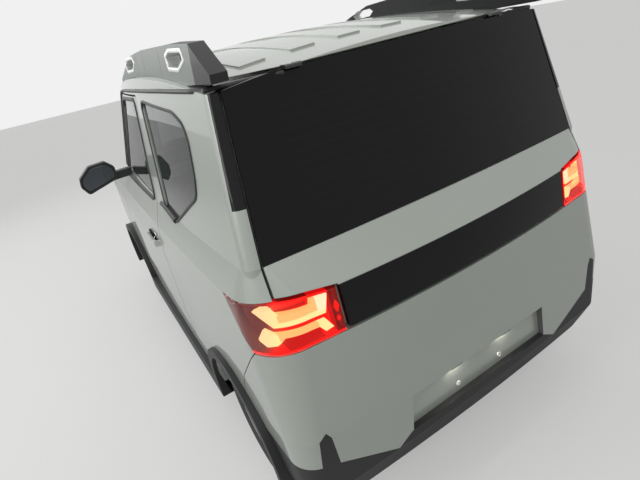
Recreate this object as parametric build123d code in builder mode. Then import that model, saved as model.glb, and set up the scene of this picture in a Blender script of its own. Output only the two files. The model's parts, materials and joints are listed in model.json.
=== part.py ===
from build123d import *
import math
import os
from collections import namedtuple

# Electric microcar with four seats, millimetres.
# +X is the nose, +Y the left side, +Z up; the origin is on the ground below the middle of the car.

# Overall sizes.
AXLE_FRONT_X = 1010
AXLE_REAR_X = -1000
WHEEL_HALF_TRACK = 650
TYRE_RADIUS = 253.9
TYRE_WIDTH = 145
CLADDING_HALF = 762
ROOF_TOP = 1600
RAIL_TOP = 1648
SIDE_MID_X = -350
SPAN = 900

# Walls, gaps and clearances.
WALL = 45
PANEL_GAP = 7
SEAM_GAP = 3
SEAT_GAP = 0.3
GLASS_EDGE = 0.5
GLASS_DEPTH = 5
GLASS_THICK = 6
BEARING_GAP = 0.6

# Levels of the floor, belt and roof joint.
FLOOR_TOP = 270
FLOOR_THICK = 30
REAR_FLOOR_TOP = 470
BELT_Z = 1083
ROOF_JOINT_Z = 1527
COWL_Z = 1010
SCREEN_FOOT_Z = 1062

# Wheel arches and housings.
ARCH_RADIUS = 300
HOUSING_WALL = 8
REAR_HOUSING_INNER = 552
FRONT_HOUSING_INNER = 425
HOUSING_OUTER = 688

# Hood and cowl.
HOOD_HALF = 600
HOOD_REAR_X = 905
HOOD_FRONT_Z = 866
HOOD_CROWN_RADIUS = 4000

# Plan sections of the lower body and of the cabin, from the ground up.
Section = namedtuple(
    "Section",
    "z rear rear_sag rear_half rear_round half front_half front_round front_sag front",
)
LOWER_SECTIONS = [
    Section(200, -1470, 15, 690, 60, 724, 665, 120, 60, 1445),
    Section(330, -1526, 12, 728, 80, 744, 705, 150, 60, 1520),
    Section(555, -1530, 12, 734, 90, 751, 716, 160, 50, 1530),
    Section(860, -1522, 36, 732, 140, 748, 710, 170, 50, 1524),
    Section(985, -1510, 36, 724, 150, 732, 690, 180, 60, 1503),
    Section(BELT_Z, -1430, 20, 684, 60, 699, 640, 180, 70, 1480),
]
CABIN_SECTIONS = [
    Section(950, -1436, 18, 668, 38, 684, 655, 150, 90, 880),
    Section(BELT_Z, -1426, 17, 685, 38, 695, 655, 150, 90, 790),
    Section(1515, -1304, 7, 616, 36, 628, 592, 140, 75, 345),
    Section(1650, -1266, 4, 594, 36, 607, 572, 140, 70, 206),
]
ROOF_PEAK_X = -475
ROOF_LONG_RADIUS = 5540
ROOF_CROWN_DROP = 48

# Side outlines, each corner as (x, z).
FENDER_SEAM_X = 612
DOOR_OUTLINE = [
    (FENDER_SEAM_X, 300),
    (FENDER_SEAM_X, 1000),
    (520, 1085),
    (118, 1505),
    (-455, 1505),
    (-470, 1085),
    (-470, 300),
]
DOOR_WINDOW = [(452, 1092), (82, 1472), (-395, 1478), (-412, 1092)]
QUARTER_WINDOW = [
    (-563, 1480),
    (-989, 1456),
    (-1072, 1426),
    (-1100, 1385),
    (-1105, 1279),
    (-1089, 1224),
    (-776, 1075),
    (-629, 1095),
]
LAMP_TIP = (-1259, 988)
LAMP_FOOT = (-1394, 847)
BUMPER_SEAM = [LAMP_FOOT, (-1224, 667), (-1125, 498)]
HEADLAMP_TIP = (1285, 838)
HEADLAMP_FOOT = (1390, 705)
FRONT_SEAM = [HEADLAMP_FOOT, (1235, 600), (1135, 500)]

# Rear outline of the tailgate, left half as (y, z).
TAILGATE_HALF = [
    (0, 847),
    (484, 847),
    (484, 981),
    (651, 1001),
    (644, BELT_Z),
    (585, ROOF_JOINT_Z),
    (0, ROOF_JOINT_Z),
]
TAILGATE_REACH_X = -1200
REAR_WINDOW_HALF = [(0, 1105), (520, 1118), (478, 1478), (0, 1484)]
WINDSCREEN_HALF = [(0, SCREEN_FOOT_Z), (575, SCREEN_FOOT_Z), (518, ROOF_JOINT_Z), (0, ROOF_JOINT_Z)]

# Rear black valance, left half as (y, z).
VALANCE_HALF = [
    (0, 150),
    (800, 150),
    (800, 470),
    (668, 455),
    (658, 556),
    (632, 573),
    (618, 548),
    (610, 435),
    (400, 330),
    (340, 365),
    (0, 365),
]
FRONT_VALANCE_HALF = [(0, 150), (800, 150), (800, 400), (620, 380), (520, 450), (0, 450)]
FRONT_GRILLE_HALF = [(0, 700), (480, 700), (480, 862), (0, 862)]

# Number plate recess, left half as (y, z), and the two screw holes in it.
PLATE_RECESS_HALF = [(0, 352), (337, 352), (319, 508), (0, 508)]
PLATE_FACE_X = -1502
PLATE_SCREWS = 210
PLATE_SCREW_Z = 400
PLATE_HOLE_RADIUS = 3.5
FRONT_PLATE_HALF = [(0, 470), (250, 470), (250, 620), (0, 620)]
FRONT_PLATE_FACE_X = 1516
FRONT_PLATE_SCREW_Z = 595


def plan_outline(s, inset):
    """Closed plan line of one body section, moved inwards by the inset."""
    rear_x = s.rear + s.rear_sag + inset
    rear_y = s.rear_half - s.rear_round - inset
    side_rear_x = s.rear + s.rear_sag + s.rear_round + inset
    side_rear_y = s.rear_half - inset
    front_x = s.front - s.front_sag - inset
    front_y = s.front_half - s.front_round - inset
    side_front_x = s.front - s.front_sag - s.front_round - inset
    side_front_y = s.front_half - inset

    def round_corner(a, b, corner, side):
        middle_x = (a[0] + b[0]) / 2
        middle_y = (a[1] + b[1]) / 2
        pull = math.sqrt(2) - 1
        bulge = (middle_x + pull * (corner[0] - middle_x), middle_y + pull * (corner[1] - middle_y))
        ThreePointArc((a[0], side * a[1]), (bulge[0], side * bulge[1]), (b[0], side * b[1]))

    for side in (-1, 1):
        round_corner((rear_x, rear_y), (side_rear_x, side_rear_y), (rear_x, side_rear_y), side)
        round_corner(
            (side_front_x, side_front_y), (front_x, front_y), (front_x, side_front_y), side
        )
        ThreePointArc(
            (side_rear_x, side * side_rear_y),
            (SIDE_MID_X, side * (s.half - inset)),
            (side_front_x, side * side_front_y),
        )
    ThreePointArc((rear_x, -rear_y), (s.rear + inset, 0), (rear_x, rear_y))
    ThreePointArc((front_x, front_y), (s.front - inset, 0), (front_x, -front_y))


def section_stack(sections, inset):
    """Solid through a stack of plan sections."""
    with BuildPart() as solid:
        for s in sections:
            with BuildSketch(Plane.XY.offset(s.z)):
                with BuildLine():
                    plan_outline(s, inset)
                make_face()
        loft(ruled=True)
    return solid.part


def hood_cutter(drop):
    """What lies above the hood, a little round from side to side."""
    with BuildPart() as cutter:
        with BuildSketch(Plane.XZ):
            with BuildLine():
                Polyline(
                    (600, 1100 - drop),
                    (560, 1112),
                    (560, 1400),
                    (1800, 1400),
                    (1800, 780 - drop),
                    (1560 - drop, 780 - drop),
                )
                ThreePointArc(
                    (1560 - drop, 780 - drop), (1532 - drop, 858 - drop), (1470 - drop, 895 - drop)
                )
                ThreePointArc((1470 - drop, 895 - drop), (1130, 1000 - drop), (600, 1100 - drop))
            make_face()
        axis = Axis((0, 0, 1000 - HOOD_CROWN_RADIUS), (1, 0, 0))
        revolve(axis=axis, revolution_arc=14)
        mirror(about=Plane.XZ)
    return cutter.part


def roof_form(drop):
    """Everything below the crowned roof surface."""
    top = ROOF_TOP - drop
    half = 720
    with BuildPart() as form:
        with BuildSketch(Plane.YZ.offset(ROOF_PEAK_X)):
            with BuildLine():
                ThreePointArc((-half, top - ROOF_CROWN_DROP), (0, top), (half, top - ROOF_CROWN_DROP))
                Polyline(
                    (half, top - ROOF_CROWN_DROP),
                    (half, 900),
                    (-half, 900),
                    (-half, top - ROOF_CROWN_DROP),
                )
            make_face()
        axis = Axis((ROOF_PEAK_X, 0, ROOF_TOP - ROOF_LONG_RADIUS), (0, 1, 0))
        revolve(axis=axis, revolution_arc=16)
        mirror(about=Plane.YZ.offset(ROOF_PEAK_X))
    return form.part


def lower_form(inset):
    """The body below the windows, moved inwards by the inset."""
    with BuildPart() as form:
        add(section_stack(LOWER_SECTIONS, inset))
        add(hood_cutter(inset), mode=Mode.SUBTRACT)
    return form.part


def car_form(inset):
    """The car's whole closed form, moved inwards by the inset."""
    with BuildPart() as cabin:
        add(section_stack(CABIN_SECTIONS, inset))
        add(roof_form(inset), mode=Mode.INTERSECT)
    with BuildPart() as form:
        add(lower_form(inset))
        add(cabin.part)
    return form.part


def prism(plane, points, start, end, grow=0):
    """Straight block over a closed outline, between two distances from the plane."""
    with BuildPart() as block:
        with BuildSketch(plane.offset(start)):
            with BuildLine():
                Polyline(*points, close=True)
            make_face()
            if grow:
                offset(amount=grow, kind=Kind.INTERSECTION)
        extrude(amount=end - start)
    return block.part


def side_prism(points, grow=0, inner=0, outer=SPAN):
    """Block over a side outline of (x, z), on the left half."""
    return prism(Plane.XZ, points, -outer, -inner, grow)


def end_prism(half_points, start, end, grow=0):
    """Block over a symmetric outline of (y, z), given by its left half."""
    right = [(-y, z) for y, z in reversed(half_points)]
    points = [p for p in half_points] + [p for p in right if p[0] != 0]
    return prism(Plane.YZ, points, start, end, grow)


def box_block(x, y, z):
    """Block between three pairs of limits."""
    with BuildPart() as block:
        with Locations(((x[0] + x[1]) / 2, (y[0] + y[1]) / 2, (z[0] + z[1]) / 2)):
            Box(x[1] - x[0], y[1] - y[0], z[1] - z[0])
    return block.part


def axle_cylinder(x, radius, inner, outer):
    """Cylinder along Y round a wheel axle, on the left half."""
    with BuildPart() as cylinder:
        with BuildSketch(Plane.XZ.offset(-inner)):
            with Locations((x, TYRE_RADIUS)):
                Circle(radius)
        extrude(amount=inner - outer)
    return cylinder.part


def trimmed(base, keep=(), cut=()):
    """The base inside each kept block and outside each cut block."""
    with BuildPart() as piece:
        add(base)
        for block in keep:
            add(block, mode=Mode.INTERSECT)
        for block in cut:
            add(block, mode=Mode.SUBTRACT)
    return piece.part


def mirrored(part):
    """The same piece on the right side."""
    with BuildPart() as copy:
        add(part)
        mirror(about=Plane.XZ, mode=Mode.REPLACE)
    return copy.part


def with_mirror(part):
    """A left piece and its right twin, as two solids."""
    with BuildPart() as pair:
        add(part)
        mirror(about=Plane.XZ)
    return pair.part


def save(part, name):
    part.label = name
    export_step(part, f"parts/{name}.step")


os.makedirs("parts", exist_ok=True)

# Body form: the outside, the inside of the walls, and the layers between them.
outer_form = car_form(0)
inner_form = car_form(WALL)
glass_outer = car_form(GLASS_DEPTH)
glass_inner = car_form(GLASS_DEPTH + GLASS_THICK)
skin_inner = car_form(18)
liner_outer = car_form(WALL + SEAT_GAP)
liner_inner = car_form(WALL + SEAT_GAP + 12)
seat_form = car_form(-SEAT_GAP)
shell = trimmed(outer_form, cut=[inner_form])
glass_layer = trimmed(glass_outer, cut=[glass_inner])
liner_layer = trimmed(liner_outer, cut=[liner_inner])

left_half = box_block((-2000, 2000), (0, SPAN), (0, 2000))
arches = [axle_cylinder(x, ARCH_RADIUS, 400, SPAN) for x in (AXLE_FRONT_X, AXLE_REAR_X)]
tailgate_opening = end_prism(TAILGATE_HALF, -1700, TAILGATE_REACH_X)
windscreen_opening = end_prism(WINDSCREEN_HALF, 0, 1000)

# Body side: rear quarter, pillars, sill and the rail over the door, in one pressing.
BODY_SIDE_OUTLINE = [
    (FENDER_SEAM_X, FLOOR_TOP),
    (FENDER_SEAM_X, COWL_Z),
    (HOOD_REAR_X - PANEL_GAP, COWL_Z),
    (HOOD_REAR_X - PANEL_GAP, ROOF_JOINT_Z),
    (-1650, ROOF_JOINT_Z),
    (-1650, 1003),
    (-1441, 1001),
    LAMP_TIP,
    *BUMPER_SEAM,
    (-1000, FLOOR_TOP),
]
# A black garnish covers the rear corner of each pillar from the window's lower corner to the roof.
GARNISH_OUTLINE = [(-1600, 1232), (-1352, 1232), (-1279, ROOF_JOINT_Z), (-1600, ROOF_JOINT_Z)]
glass_back = car_form(GLASS_THICK)
glass_bed = car_form(GLASS_THICK + SEAT_GAP)
garnish_room = trimmed(outer_form, keep=[side_prism(GARNISH_OUTLINE, SEAT_GAP)], cut=[glass_bed])
pillar_garnish = trimmed(
    outer_form, keep=[side_prism(GARNISH_OUTLINE)], cut=[glass_back, tailgate_opening]
)
save(with_mirror(pillar_garnish), "pillar_garnishes")
body_side_left = trimmed(
    shell,
    keep=[side_prism(BODY_SIDE_OUTLINE)],
    cut=[
        garnish_room,
        side_prism(DOOR_OUTLINE),
        side_prism(QUARTER_WINDOW),
        tailgate_opening,
        windscreen_opening,
        box_block((FENDER_SEAM_X - 100, 1000), (0, HOOD_HALF), (900, SCREEN_FOOT_Z)),
        *arches,
    ],
)
save(body_side_left, "body_side_left")
save(mirrored(body_side_left), "body_side_right")

# Roof panel, from joint to joint.
ROOF_BLOCK = box_block((-1500, 500), (-SPAN, SPAN), (ROOF_JOINT_Z, 1700))
ROOF_RIB_RISE = 5
ROOF_RIB_WIDTH = 84
ROOF_RIB_PITCH = 168
ROOF_RIB_REACH = (-1150, 60)
rib_places = [(i - 2.5) * ROOF_RIB_PITCH for i in range(6)]
roof_ribs = [
    box_block(ROOF_RIB_REACH, (y - ROOF_RIB_WIDTH / 2, y + ROOF_RIB_WIDTH / 2), (ROOF_JOINT_Z, 1700))
    for y in rib_places
]
raised_roof = roof_form(-ROOF_RIB_RISE)

# Tailgate hinges: two knuckles and a pin on the roof's edge, and one knuckle between them on the gate.
GATE_HINGE = (-1310, 1524)
GATE_HINGE_Y = 380
GATE_KNUCKLE = 5.5
GATE_PIN = 2.5
GATE_PIN_FIT = 0.1
GATE_HINGE_HALF = 25
GATE_KNUCKLE_HALF = 9.4
GATE_KNUCKLE_GAP = 0.6
GATE_LEAF = 3


def gate_rod(radius, start, end):
    """Round bar on the tailgate's hinge line."""
    with BuildPart() as rod:
        with BuildSketch(Plane.XZ.offset(-end)):
            with Locations(GATE_HINGE):
                Circle(radius)
        extrude(amount=end - start)
    return rod.part


roof_knuckles = [gate_rod(GATE_PIN, GATE_HINGE_Y - GATE_HINGE_HALF, GATE_HINGE_Y + GATE_HINGE_HALF)]
for start, end in (
    (-GATE_HINGE_HALF, -GATE_KNUCKLE_HALF - GATE_KNUCKLE_GAP),
    (GATE_KNUCKLE_HALF + GATE_KNUCKLE_GAP, GATE_HINGE_HALF),
):
    span = (GATE_HINGE_Y + start, GATE_HINGE_Y + end)
    roof_knuckles.append(gate_rod(GATE_KNUCKLE, *span))
    leaf_z = (ROOF_JOINT_Z - GATE_LEAF + SEAT_GAP, ROOF_JOINT_Z + GATE_LEAF)
    roof_knuckles.append(box_block((GATE_HINGE[0], GATE_HINGE[0] + 25), span, leaf_z))
gate_top = ROOF_JOINT_Z - PANEL_GAP
gate_span = (GATE_HINGE_Y - GATE_KNUCKLE_HALF, GATE_HINGE_Y + GATE_KNUCKLE_HALF)
with BuildPart() as gate_knuckle:
    add(gate_rod(GATE_KNUCKLE, *gate_span))
    add(
        box_block(
            (GATE_HINGE[0], GATE_HINGE[0] + 30), gate_span, (gate_top + SEAT_GAP, gate_top + GATE_LEAF)
        )
    )
    add(box_block((GATE_HINGE[0] + 24, GATE_HINGE[0] + 30), gate_span, (gate_top - 8, gate_top + GATE_LEAF)))
    add(gate_rod(GATE_PIN + GATE_PIN_FIT, *gate_span), mode=Mode.SUBTRACT)
with BuildPart() as roof_panel:
    for rib in roof_ribs:
        add(trimmed(raised_roof, keep=[rib]))
    add(trimmed(outer_form, keep=[ROOF_BLOCK]))
    add(inner_form, mode=Mode.SUBTRACT)
    for knuckle_piece in roof_knuckles:
        add(knuckle_piece)
        add(mirrored(knuckle_piece))
save(roof_panel.part, "roof_panel")

# Doors with their windows cut.
# Two hinges a side: a pin in a pocket of the door, and an arm from the bulkhead round the pin.
DOOR_HINGE = (547, 724)
DOOR_HINGE_LEVELS = (385, 610)
HINGE_PIN = 4
HINGE_EYE = 8
HINGE_FIT = 0.08
HINGE_ARM_HEIGHT = 40
HINGE_POCKET_HEIGHT = 56
HINGE_ARM_Y = 641
hinge_pockets = [
    box_block(
        (DOOR_HINGE[0] - 16, FENDER_SEAM_X),
        (600, DOOR_HINGE[1] + HINGE_EYE + 3),
        (level - HINGE_POCKET_HEIGHT / 2, level + HINGE_POCKET_HEIGHT / 2),
    )
    for level in DOOR_HINGE_LEVELS
]
with BuildPart() as hinge_pins:
    for level in DOOR_HINGE_LEVELS:
        with Locations((*DOOR_HINGE, level)):
            Cylinder(HINGE_PIN, HINGE_POCKET_HEIGHT + 4)
with BuildPart() as hinge_arms:
    for level in DOOR_HINGE_LEVELS:
        with BuildSketch(Plane.XY.offset(level - HINGE_ARM_HEIGHT / 2)):
            with Locations(DOOR_HINGE):
                Circle(HINGE_EYE)
            with Locations((DOOR_HINGE[0], (DOOR_HINGE[1] + HINGE_ARM_Y) / 2)):
                Rectangle(12, DOOR_HINGE[1] - HINGE_ARM_Y)
            with Locations(((DOOR_HINGE[0] + 660) / 2, HINGE_ARM_Y)):
                Rectangle(660 - DOOR_HINGE[0] + 12, 14)
            with Locations(DOOR_HINGE):
                Circle(HINGE_PIN + HINGE_FIT, mode=Mode.SUBTRACT)
        extrude(amount=HINGE_ARM_HEIGHT)
door_left = trimmed(
    shell,
    keep=[side_prism(DOOR_OUTLINE, -PANEL_GAP)],
    cut=[side_prism(DOOR_WINDOW), *hinge_pockets],
)
# The handle: a finger pocket in the door skin, and a bar across it on two feet.
HANDLE_POCKET = ((-345, -235), (726, SPAN), (857, 913))
HANDLE_Z = (872, 898)
HANDLE_PLAN = [(-404, 740), (-392, 765), (-236, 763), (-214, 738), (-228, 738), (-242, 752), (-386, 754), (-394, 738)]
handle_bar = prism(Plane.XY, HANDLE_PLAN, *HANDLE_Z)
with BuildPart() as door_with_pins:
    add(door_left)
    add(box_block(*HANDLE_POCKET), mode=Mode.SUBTRACT)
    add(hinge_pins.part)
    add(handle_bar)
door_left = door_with_pins.part
save(door_left, "door_panel_left")
save(mirrored(door_left), "door_panel_right")
door_glass = trimmed(glass_layer, keep=[side_prism(DOOR_WINDOW, -GLASS_EDGE)])
save(door_glass, "door_glass_left")
save(mirrored(door_glass), "door_glass_right")
quarter_glass = trimmed(glass_layer, keep=[side_prism(QUARTER_WINDOW, -GLASS_EDGE)])
save(with_mirror(quarter_glass), "quarter_glass")
windscreen = trimmed(
    glass_layer,
    keep=[end_prism(WINDSCREEN_HALF, 0, 1000, -GLASS_EDGE)],
)
save(windscreen, "windscreen")

# Tailgate: the panel, the black glass over its upper part and the black strip between the lamps.
tailgate_block = end_prism(TAILGATE_HALF, -1700, TAILGATE_REACH_X, -PANEL_GAP)
glass_block = box_block((-1700, -1200), (-SPAN, SPAN), (BELT_Z, ROOF_JOINT_Z))
strip_block = box_block((-1700, -1400), (-481 + PANEL_GAP, 481 - PANEL_GAP), (800, 983))
tailgate_glass = trimmed(outer_form, keep=[tailgate_block, glass_block], cut=[glass_back])
save(tailgate_glass, "tailgate_glass")
tailgate_strip = trimmed(outer_form, keep=[tailgate_block, strip_block], cut=[skin_inner])
save(tailgate_strip, "tailgate_strip")
strip_bed = car_form(18 + SEAT_GAP)
glass_room = trimmed(outer_form, keep=[box_block((-1700, -1200), (-SPAN, SPAN), (BELT_Z - SEAT_GAP, 1600))], cut=[glass_bed])
strip_room = trimmed(
    outer_form,
    keep=[box_block((-1700, -1400), (-SPAN, SPAN), (800, 983 + SEAT_GAP))],
    cut=[strip_bed],
)
tailgate_panel = trimmed(
    shell,
    keep=[tailgate_block],
    cut=[glass_room, strip_room, end_prism(REAR_WINDOW_HALF, -1700, -1200)],
)
with BuildPart() as tailgate_with_knuckles:
    add(tailgate_panel)
    add(gate_knuckle.part)
    add(mirrored(gate_knuckle.part))
save(tailgate_with_knuckles.part, "tailgate_panel")

# Lamps wrapped round the corners: a lens, a case behind it, and lit pieces on the case's floor.
LENS_THICK = 3
LAMP_DEPTH = 28
LAMP_RIM = 6
GUIDE_TOP = 13
TAIL_LAMP_SIDE = [(-1650, 847), LAMP_FOOT, LAMP_TIP, (-1441, 1001), (-1650, 1003)]
TAIL_LAMP_END = [(484, 847), (484, 981), (651, 1001), (800, 1003), (800, 847)]
TAIL_HOOK = [(696, 966), (664, 918), (525, 914), (509, 966), (555, 970), (561, 949), (644, 952), (655, 970)]
TAIL_BAR = [
    (699, 876),
    (675, 905),
    (661, 894),
    (556, 894),
    (528, 893),
    (513, 866),
    (538, 862),
    (552, 882),
    (646, 885),
    (667, 866),
    (690, 862),
]
HEADLAMP_SIDE = [(1650, 700), HEADLAMP_FOOT, HEADLAMP_TIP, (1650, HOOD_FRONT_Z)]
HEADLAMP_END = [(480, 600), (480, HOOD_FRONT_Z), (800, HOOD_FRONT_Z), (800, 600)]
HEAD_GUIDE = [(500, 842), (690, 826), (702, 812), (694, 730), (682, 730), (688, 808), (500, 824)]
PROJECTOR_RADIUS = 30
PROJECTORS = [(545, 768), (628, 768)]
lens_back = lower_form(LENS_THICK)
case_front = lower_form(LENS_THICK + SEAT_GAP)
case_floor = lower_form(LAMP_DEPTH)
guide_front = lower_form(GUIDE_TOP)
guide_foot = lower_form(LAMP_DEPTH - SEAT_GAP)
guide_layer = trimmed(guide_front, cut=[guide_foot])
pocket_layer = trimmed(case_front, cut=[case_floor])


def lamp_outline(side, end, start, stop, grow):
    """Cutters round one left lamp, in side view and in end view."""
    return [side_prism(side, grow), prism(Plane.YZ, end, start, stop, grow)]


def lamp_pieces(side, end, start, stop):
    """Lens and case of one left lamp."""
    block = trimmed(shell, keep=lamp_outline(side, end, start, stop, -SEAM_GAP))
    pocket = trimmed(pocket_layer, keep=lamp_outline(side, end, start, stop, -SEAM_GAP - LAMP_RIM))
    return trimmed(block, cut=[lens_back]), trimmed(block, keep=[case_front], cut=[pocket])


tail_lens, tail_case = lamp_pieces(TAIL_LAMP_SIDE, TAIL_LAMP_END, -1700, -1200)
head_lens, head_case = lamp_pieces(HEADLAMP_SIDE, HEADLAMP_END, 1200, 1700)
save(with_mirror(tail_lens), "tail_lamps")
save(with_mirror(head_lens), "headlamps")
with BuildPart() as lamp_cases:
    add(with_mirror(tail_case))
    add(with_mirror(head_case))
save(lamp_cases.part, "lamp_cases")
GUIDE_INSET = -SEAM_GAP - LAMP_RIM - SEAT_GAP
TAIL_GUIDE_REACH_X = -1385
HEAD_GUIDE_REACH_X = 1400
with BuildPart() as projector_rods:
    with BuildSketch(Plane.YZ.offset(HEAD_GUIDE_REACH_X)):
        with Locations(*PROJECTORS):
            Circle(PROJECTOR_RADIUS)
    extrude(amount=200)
tail_room = lamp_outline(TAIL_LAMP_SIDE, TAIL_LAMP_END, -1700, TAIL_GUIDE_REACH_X, GUIDE_INSET)
head_room = lamp_outline(HEADLAMP_SIDE, HEADLAMP_END, HEAD_GUIDE_REACH_X, 1700, GUIDE_INSET)
with BuildPart() as lamp_guides:
    for outline in (TAIL_HOOK, TAIL_BAR):
        lit_form = prism(Plane.YZ, outline, -1700, TAIL_GUIDE_REACH_X)
        add(trimmed(guide_layer, keep=[lit_form, *tail_room]))
    lit_form = prism(Plane.YZ, HEAD_GUIDE, HEAD_GUIDE_REACH_X, 1700)
    add(trimmed(guide_layer, keep=[lit_form, *head_room]))
    add(trimmed(guide_layer, keep=[projector_rods.part, *head_room]))
    mirror(about=Plane.XZ)
save(lamp_guides.part, "lamp_guides")
front_panel = trimmed(
    shell,
    keep=[end_prism(FRONT_GRILLE_HALF, 1426, 1700, -SEAM_GAP)],
)
with BuildPart() as front_panel_stops:
    add(front_panel)
    for y in (-350, 350):
        with BuildSketch(Plane.XY.offset(HOOD_FRONT_Z - 20)):
            with Locations((1470, y)):
                Circle(9)
        extrude(amount=20 + PANEL_GAP - SEAT_GAP)
front_panel = front_panel_stops.part
save(front_panel, "front_panel")

# Bumpers and the black valances below them.
REAR_BUMPER_SIDE = [(-1650, 150), (-1650, 847), *BUMPER_SEAM, (-1000, 300), (-1000, 150)]
rear_lower = trimmed(shell, keep=[side_prism(REAR_BUMPER_SIDE, -SEAM_GAP)], cut=arches)
rear_lower = with_mirror(rear_lower)
rear_valance_block = end_prism(VALANCE_HALF, -1700, -1000)


def plate_holes(x, z):
    """Two round cutters along X for the plate screws."""
    with BuildPart() as holes:
        with BuildSketch(Plane.YZ.offset(x - 60)):
            with Locations((-PLATE_SCREWS / 2, z), (PLATE_SCREWS / 2, z)):
                Circle(PLATE_HOLE_RADIUS)
        extrude(amount=120)
    return holes.part


rear_recess = end_prism(PLATE_RECESS_HALF, -1700, PLATE_FACE_X)
rear_holes = plate_holes(PLATE_FACE_X, PLATE_SCREW_Z)
save(trimmed(rear_lower, cut=[rear_valance_block, rear_recess, rear_holes]), "rear_bumper")
FRONT_BUMPER_SIDE = [(1650, 150), (1650, 700), *FRONT_SEAM, (1000, 300), (1000, 150)]
front_lower = trimmed(shell, keep=[side_prism(FRONT_BUMPER_SIDE, -SEAM_GAP)], cut=arches)
front_lower = with_mirror(front_lower)
front_valance_block = end_prism(FRONT_VALANCE_HALF, 1000, 1700)
front_recess = end_prism(FRONT_PLATE_HALF, FRONT_PLATE_FACE_X, 1700)
front_holes = plate_holes(FRONT_PLATE_FACE_X, FRONT_PLATE_SCREW_Z)
save(trimmed(front_lower, cut=[front_valance_block, front_recess, front_holes]), "front_bumper")
rear_valance = trimmed(rear_lower, keep=[end_prism(VALANCE_HALF, -1700, -1000, -SEAT_GAP)])
front_valance = trimmed(front_lower, keep=[end_prism(FRONT_VALANCE_HALF, 1000, 1700, -SEAT_GAP)])
with BuildPart() as lower_valances:
    add(rear_valance)
    add(front_valance)
save(lower_valances.part, "lower_valances")

# Front fenders and hood.
FENDER_OUTLINE = [
    (FENDER_SEAM_X, FLOOR_TOP),
    (FENDER_SEAM_X, COWL_Z),
    (HOOD_REAR_X - PANEL_GAP, COWL_Z),
    (HOOD_REAR_X - PANEL_GAP, 1200),
    (1650, 1200),
    (1650, HOOD_FRONT_Z),
    HEADLAMP_TIP,
    *FRONT_SEAM,
    (1000, FLOOR_TOP),
]
fender = trimmed(
    shell,
    keep=[side_prism(FENDER_OUTLINE, inner=HOOD_HALF)],
    cut=[side_prism(DOOR_OUTLINE), *arches],
)
save(with_mirror(fender), "front_fenders")
HOOD_OUTLINE = [
    (HOOD_REAR_X, 850),
    (HOOD_REAR_X, 1200),
    (1700, 1200),
    (1700, HOOD_FRONT_Z + PANEL_GAP),
    (1420, HOOD_FRONT_Z + PANEL_GAP),
    (1420, 850),
]
hood = trimmed(
    shell,
    keep=[
        prism(Plane.XZ, HOOD_OUTLINE, -HOOD_HALF + PANEL_GAP, HOOD_HALF - PANEL_GAP),
        box_block((HOOD_REAR_X, 1700), (-SPAN, SPAN), (860, 1200)),
    ],
)
save(hood, "hood")

# Cowl panel between the hood and the windscreen.
cowl = trimmed(
    shell,
    keep=[
        box_block(
            (FENDER_SEAM_X, HOOD_REAR_X - PANEL_GAP),
            (-HOOD_HALF + SEAM_GAP, HOOD_HALF - SEAM_GAP),
            (900, SCREEN_FOOT_Z - GLASS_EDGE),
        )
    ],
)
save(cowl, "cowl_panel")

# Floor pan: front floor, riser, rear floor and the end panel behind the lamps, in one welded piece.
FLOOR_HALF = 700
SILL_HALF = 700
RISER_X = -560
END_PANEL_TOP = 842
LAMP_BED_TOP = 975
FLOOR_PROFILE = [
    (640 + 20, FLOOR_TOP),
    (RISER_X, FLOOR_TOP),
    (RISER_X - 12, REAR_FLOOR_TOP),
    (-1500, REAR_FLOOR_TOP),
    (-1500, REAR_FLOOR_TOP - FLOOR_THICK),
    (RISER_X - FLOOR_THICK - 12, REAR_FLOOR_TOP - FLOOR_THICK),
    (RISER_X - FLOOR_THICK, FLOOR_TOP - FLOOR_THICK),
    (640 + 20, FLOOR_TOP - FLOOR_THICK),
]
housing_rooms = [
    axle_cylinder(AXLE_REAR_X, ARCH_RADIUS + HOUSING_WALL + SEAT_GAP, REAR_HOUSING_INNER - HOUSING_WALL - SEAT_GAP, SPAN),
]
with BuildPart() as floor_block:
    add(prism(Plane.XZ, FLOOR_PROFILE, 0, FLOOR_HALF))
    mirror(about=Plane.XZ)
floor_inside = trimmed(
    floor_block.part,
    cut=[*housing_rooms, mirrored(housing_rooms[0])],
)
inside_rear = trimmed(
    floor_inside,
    keep=[box_block((-1600, RISER_X - FLOOR_THICK - 20), (-SPAN, SPAN), (200, 600))],
)
inside_rear = trimmed(inside_rear, keep=[liner_outer])
front_floor = trimmed(
    floor_inside,
    keep=[box_block((RISER_X - FLOOR_THICK - 20, 700), (-SPAN, SPAN), (200, FLOOR_TOP))],
)
riser = trimmed(
    floor_inside,
    keep=[
        box_block((RISER_X - FLOOR_THICK - 20, 700), (-SPAN, SPAN), (FLOOR_TOP - 1, 600)),
        liner_outer,
    ],
)
end_panel = trimmed(
    liner_layer,
    keep=[
        box_block((-1600, -1260), (-SPAN, SPAN), (REAR_FLOOR_TOP - FLOOR_THICK, LAMP_BED_TOP)),
    ],
    cut=[
        *housing_rooms,
        mirrored(housing_rooms[0]),
        box_block((-1700, -1200), (-492, 492), (END_PANEL_TOP, 1100)),
    ],
)
TAILGATE_FOOT_Z = 847 + PANEL_GAP
with BuildPart() as striker:
    add(box_block((-1470, -1440), (-45, 45), (END_PANEL_TOP - 30, TAILGATE_FOOT_Z - SEAT_GAP)))
    add(box_block((-1495, -1460), (-45, 45), (TAILGATE_FOOT_Z - 6, TAILGATE_FOOT_Z - SEAT_GAP)))

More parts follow.
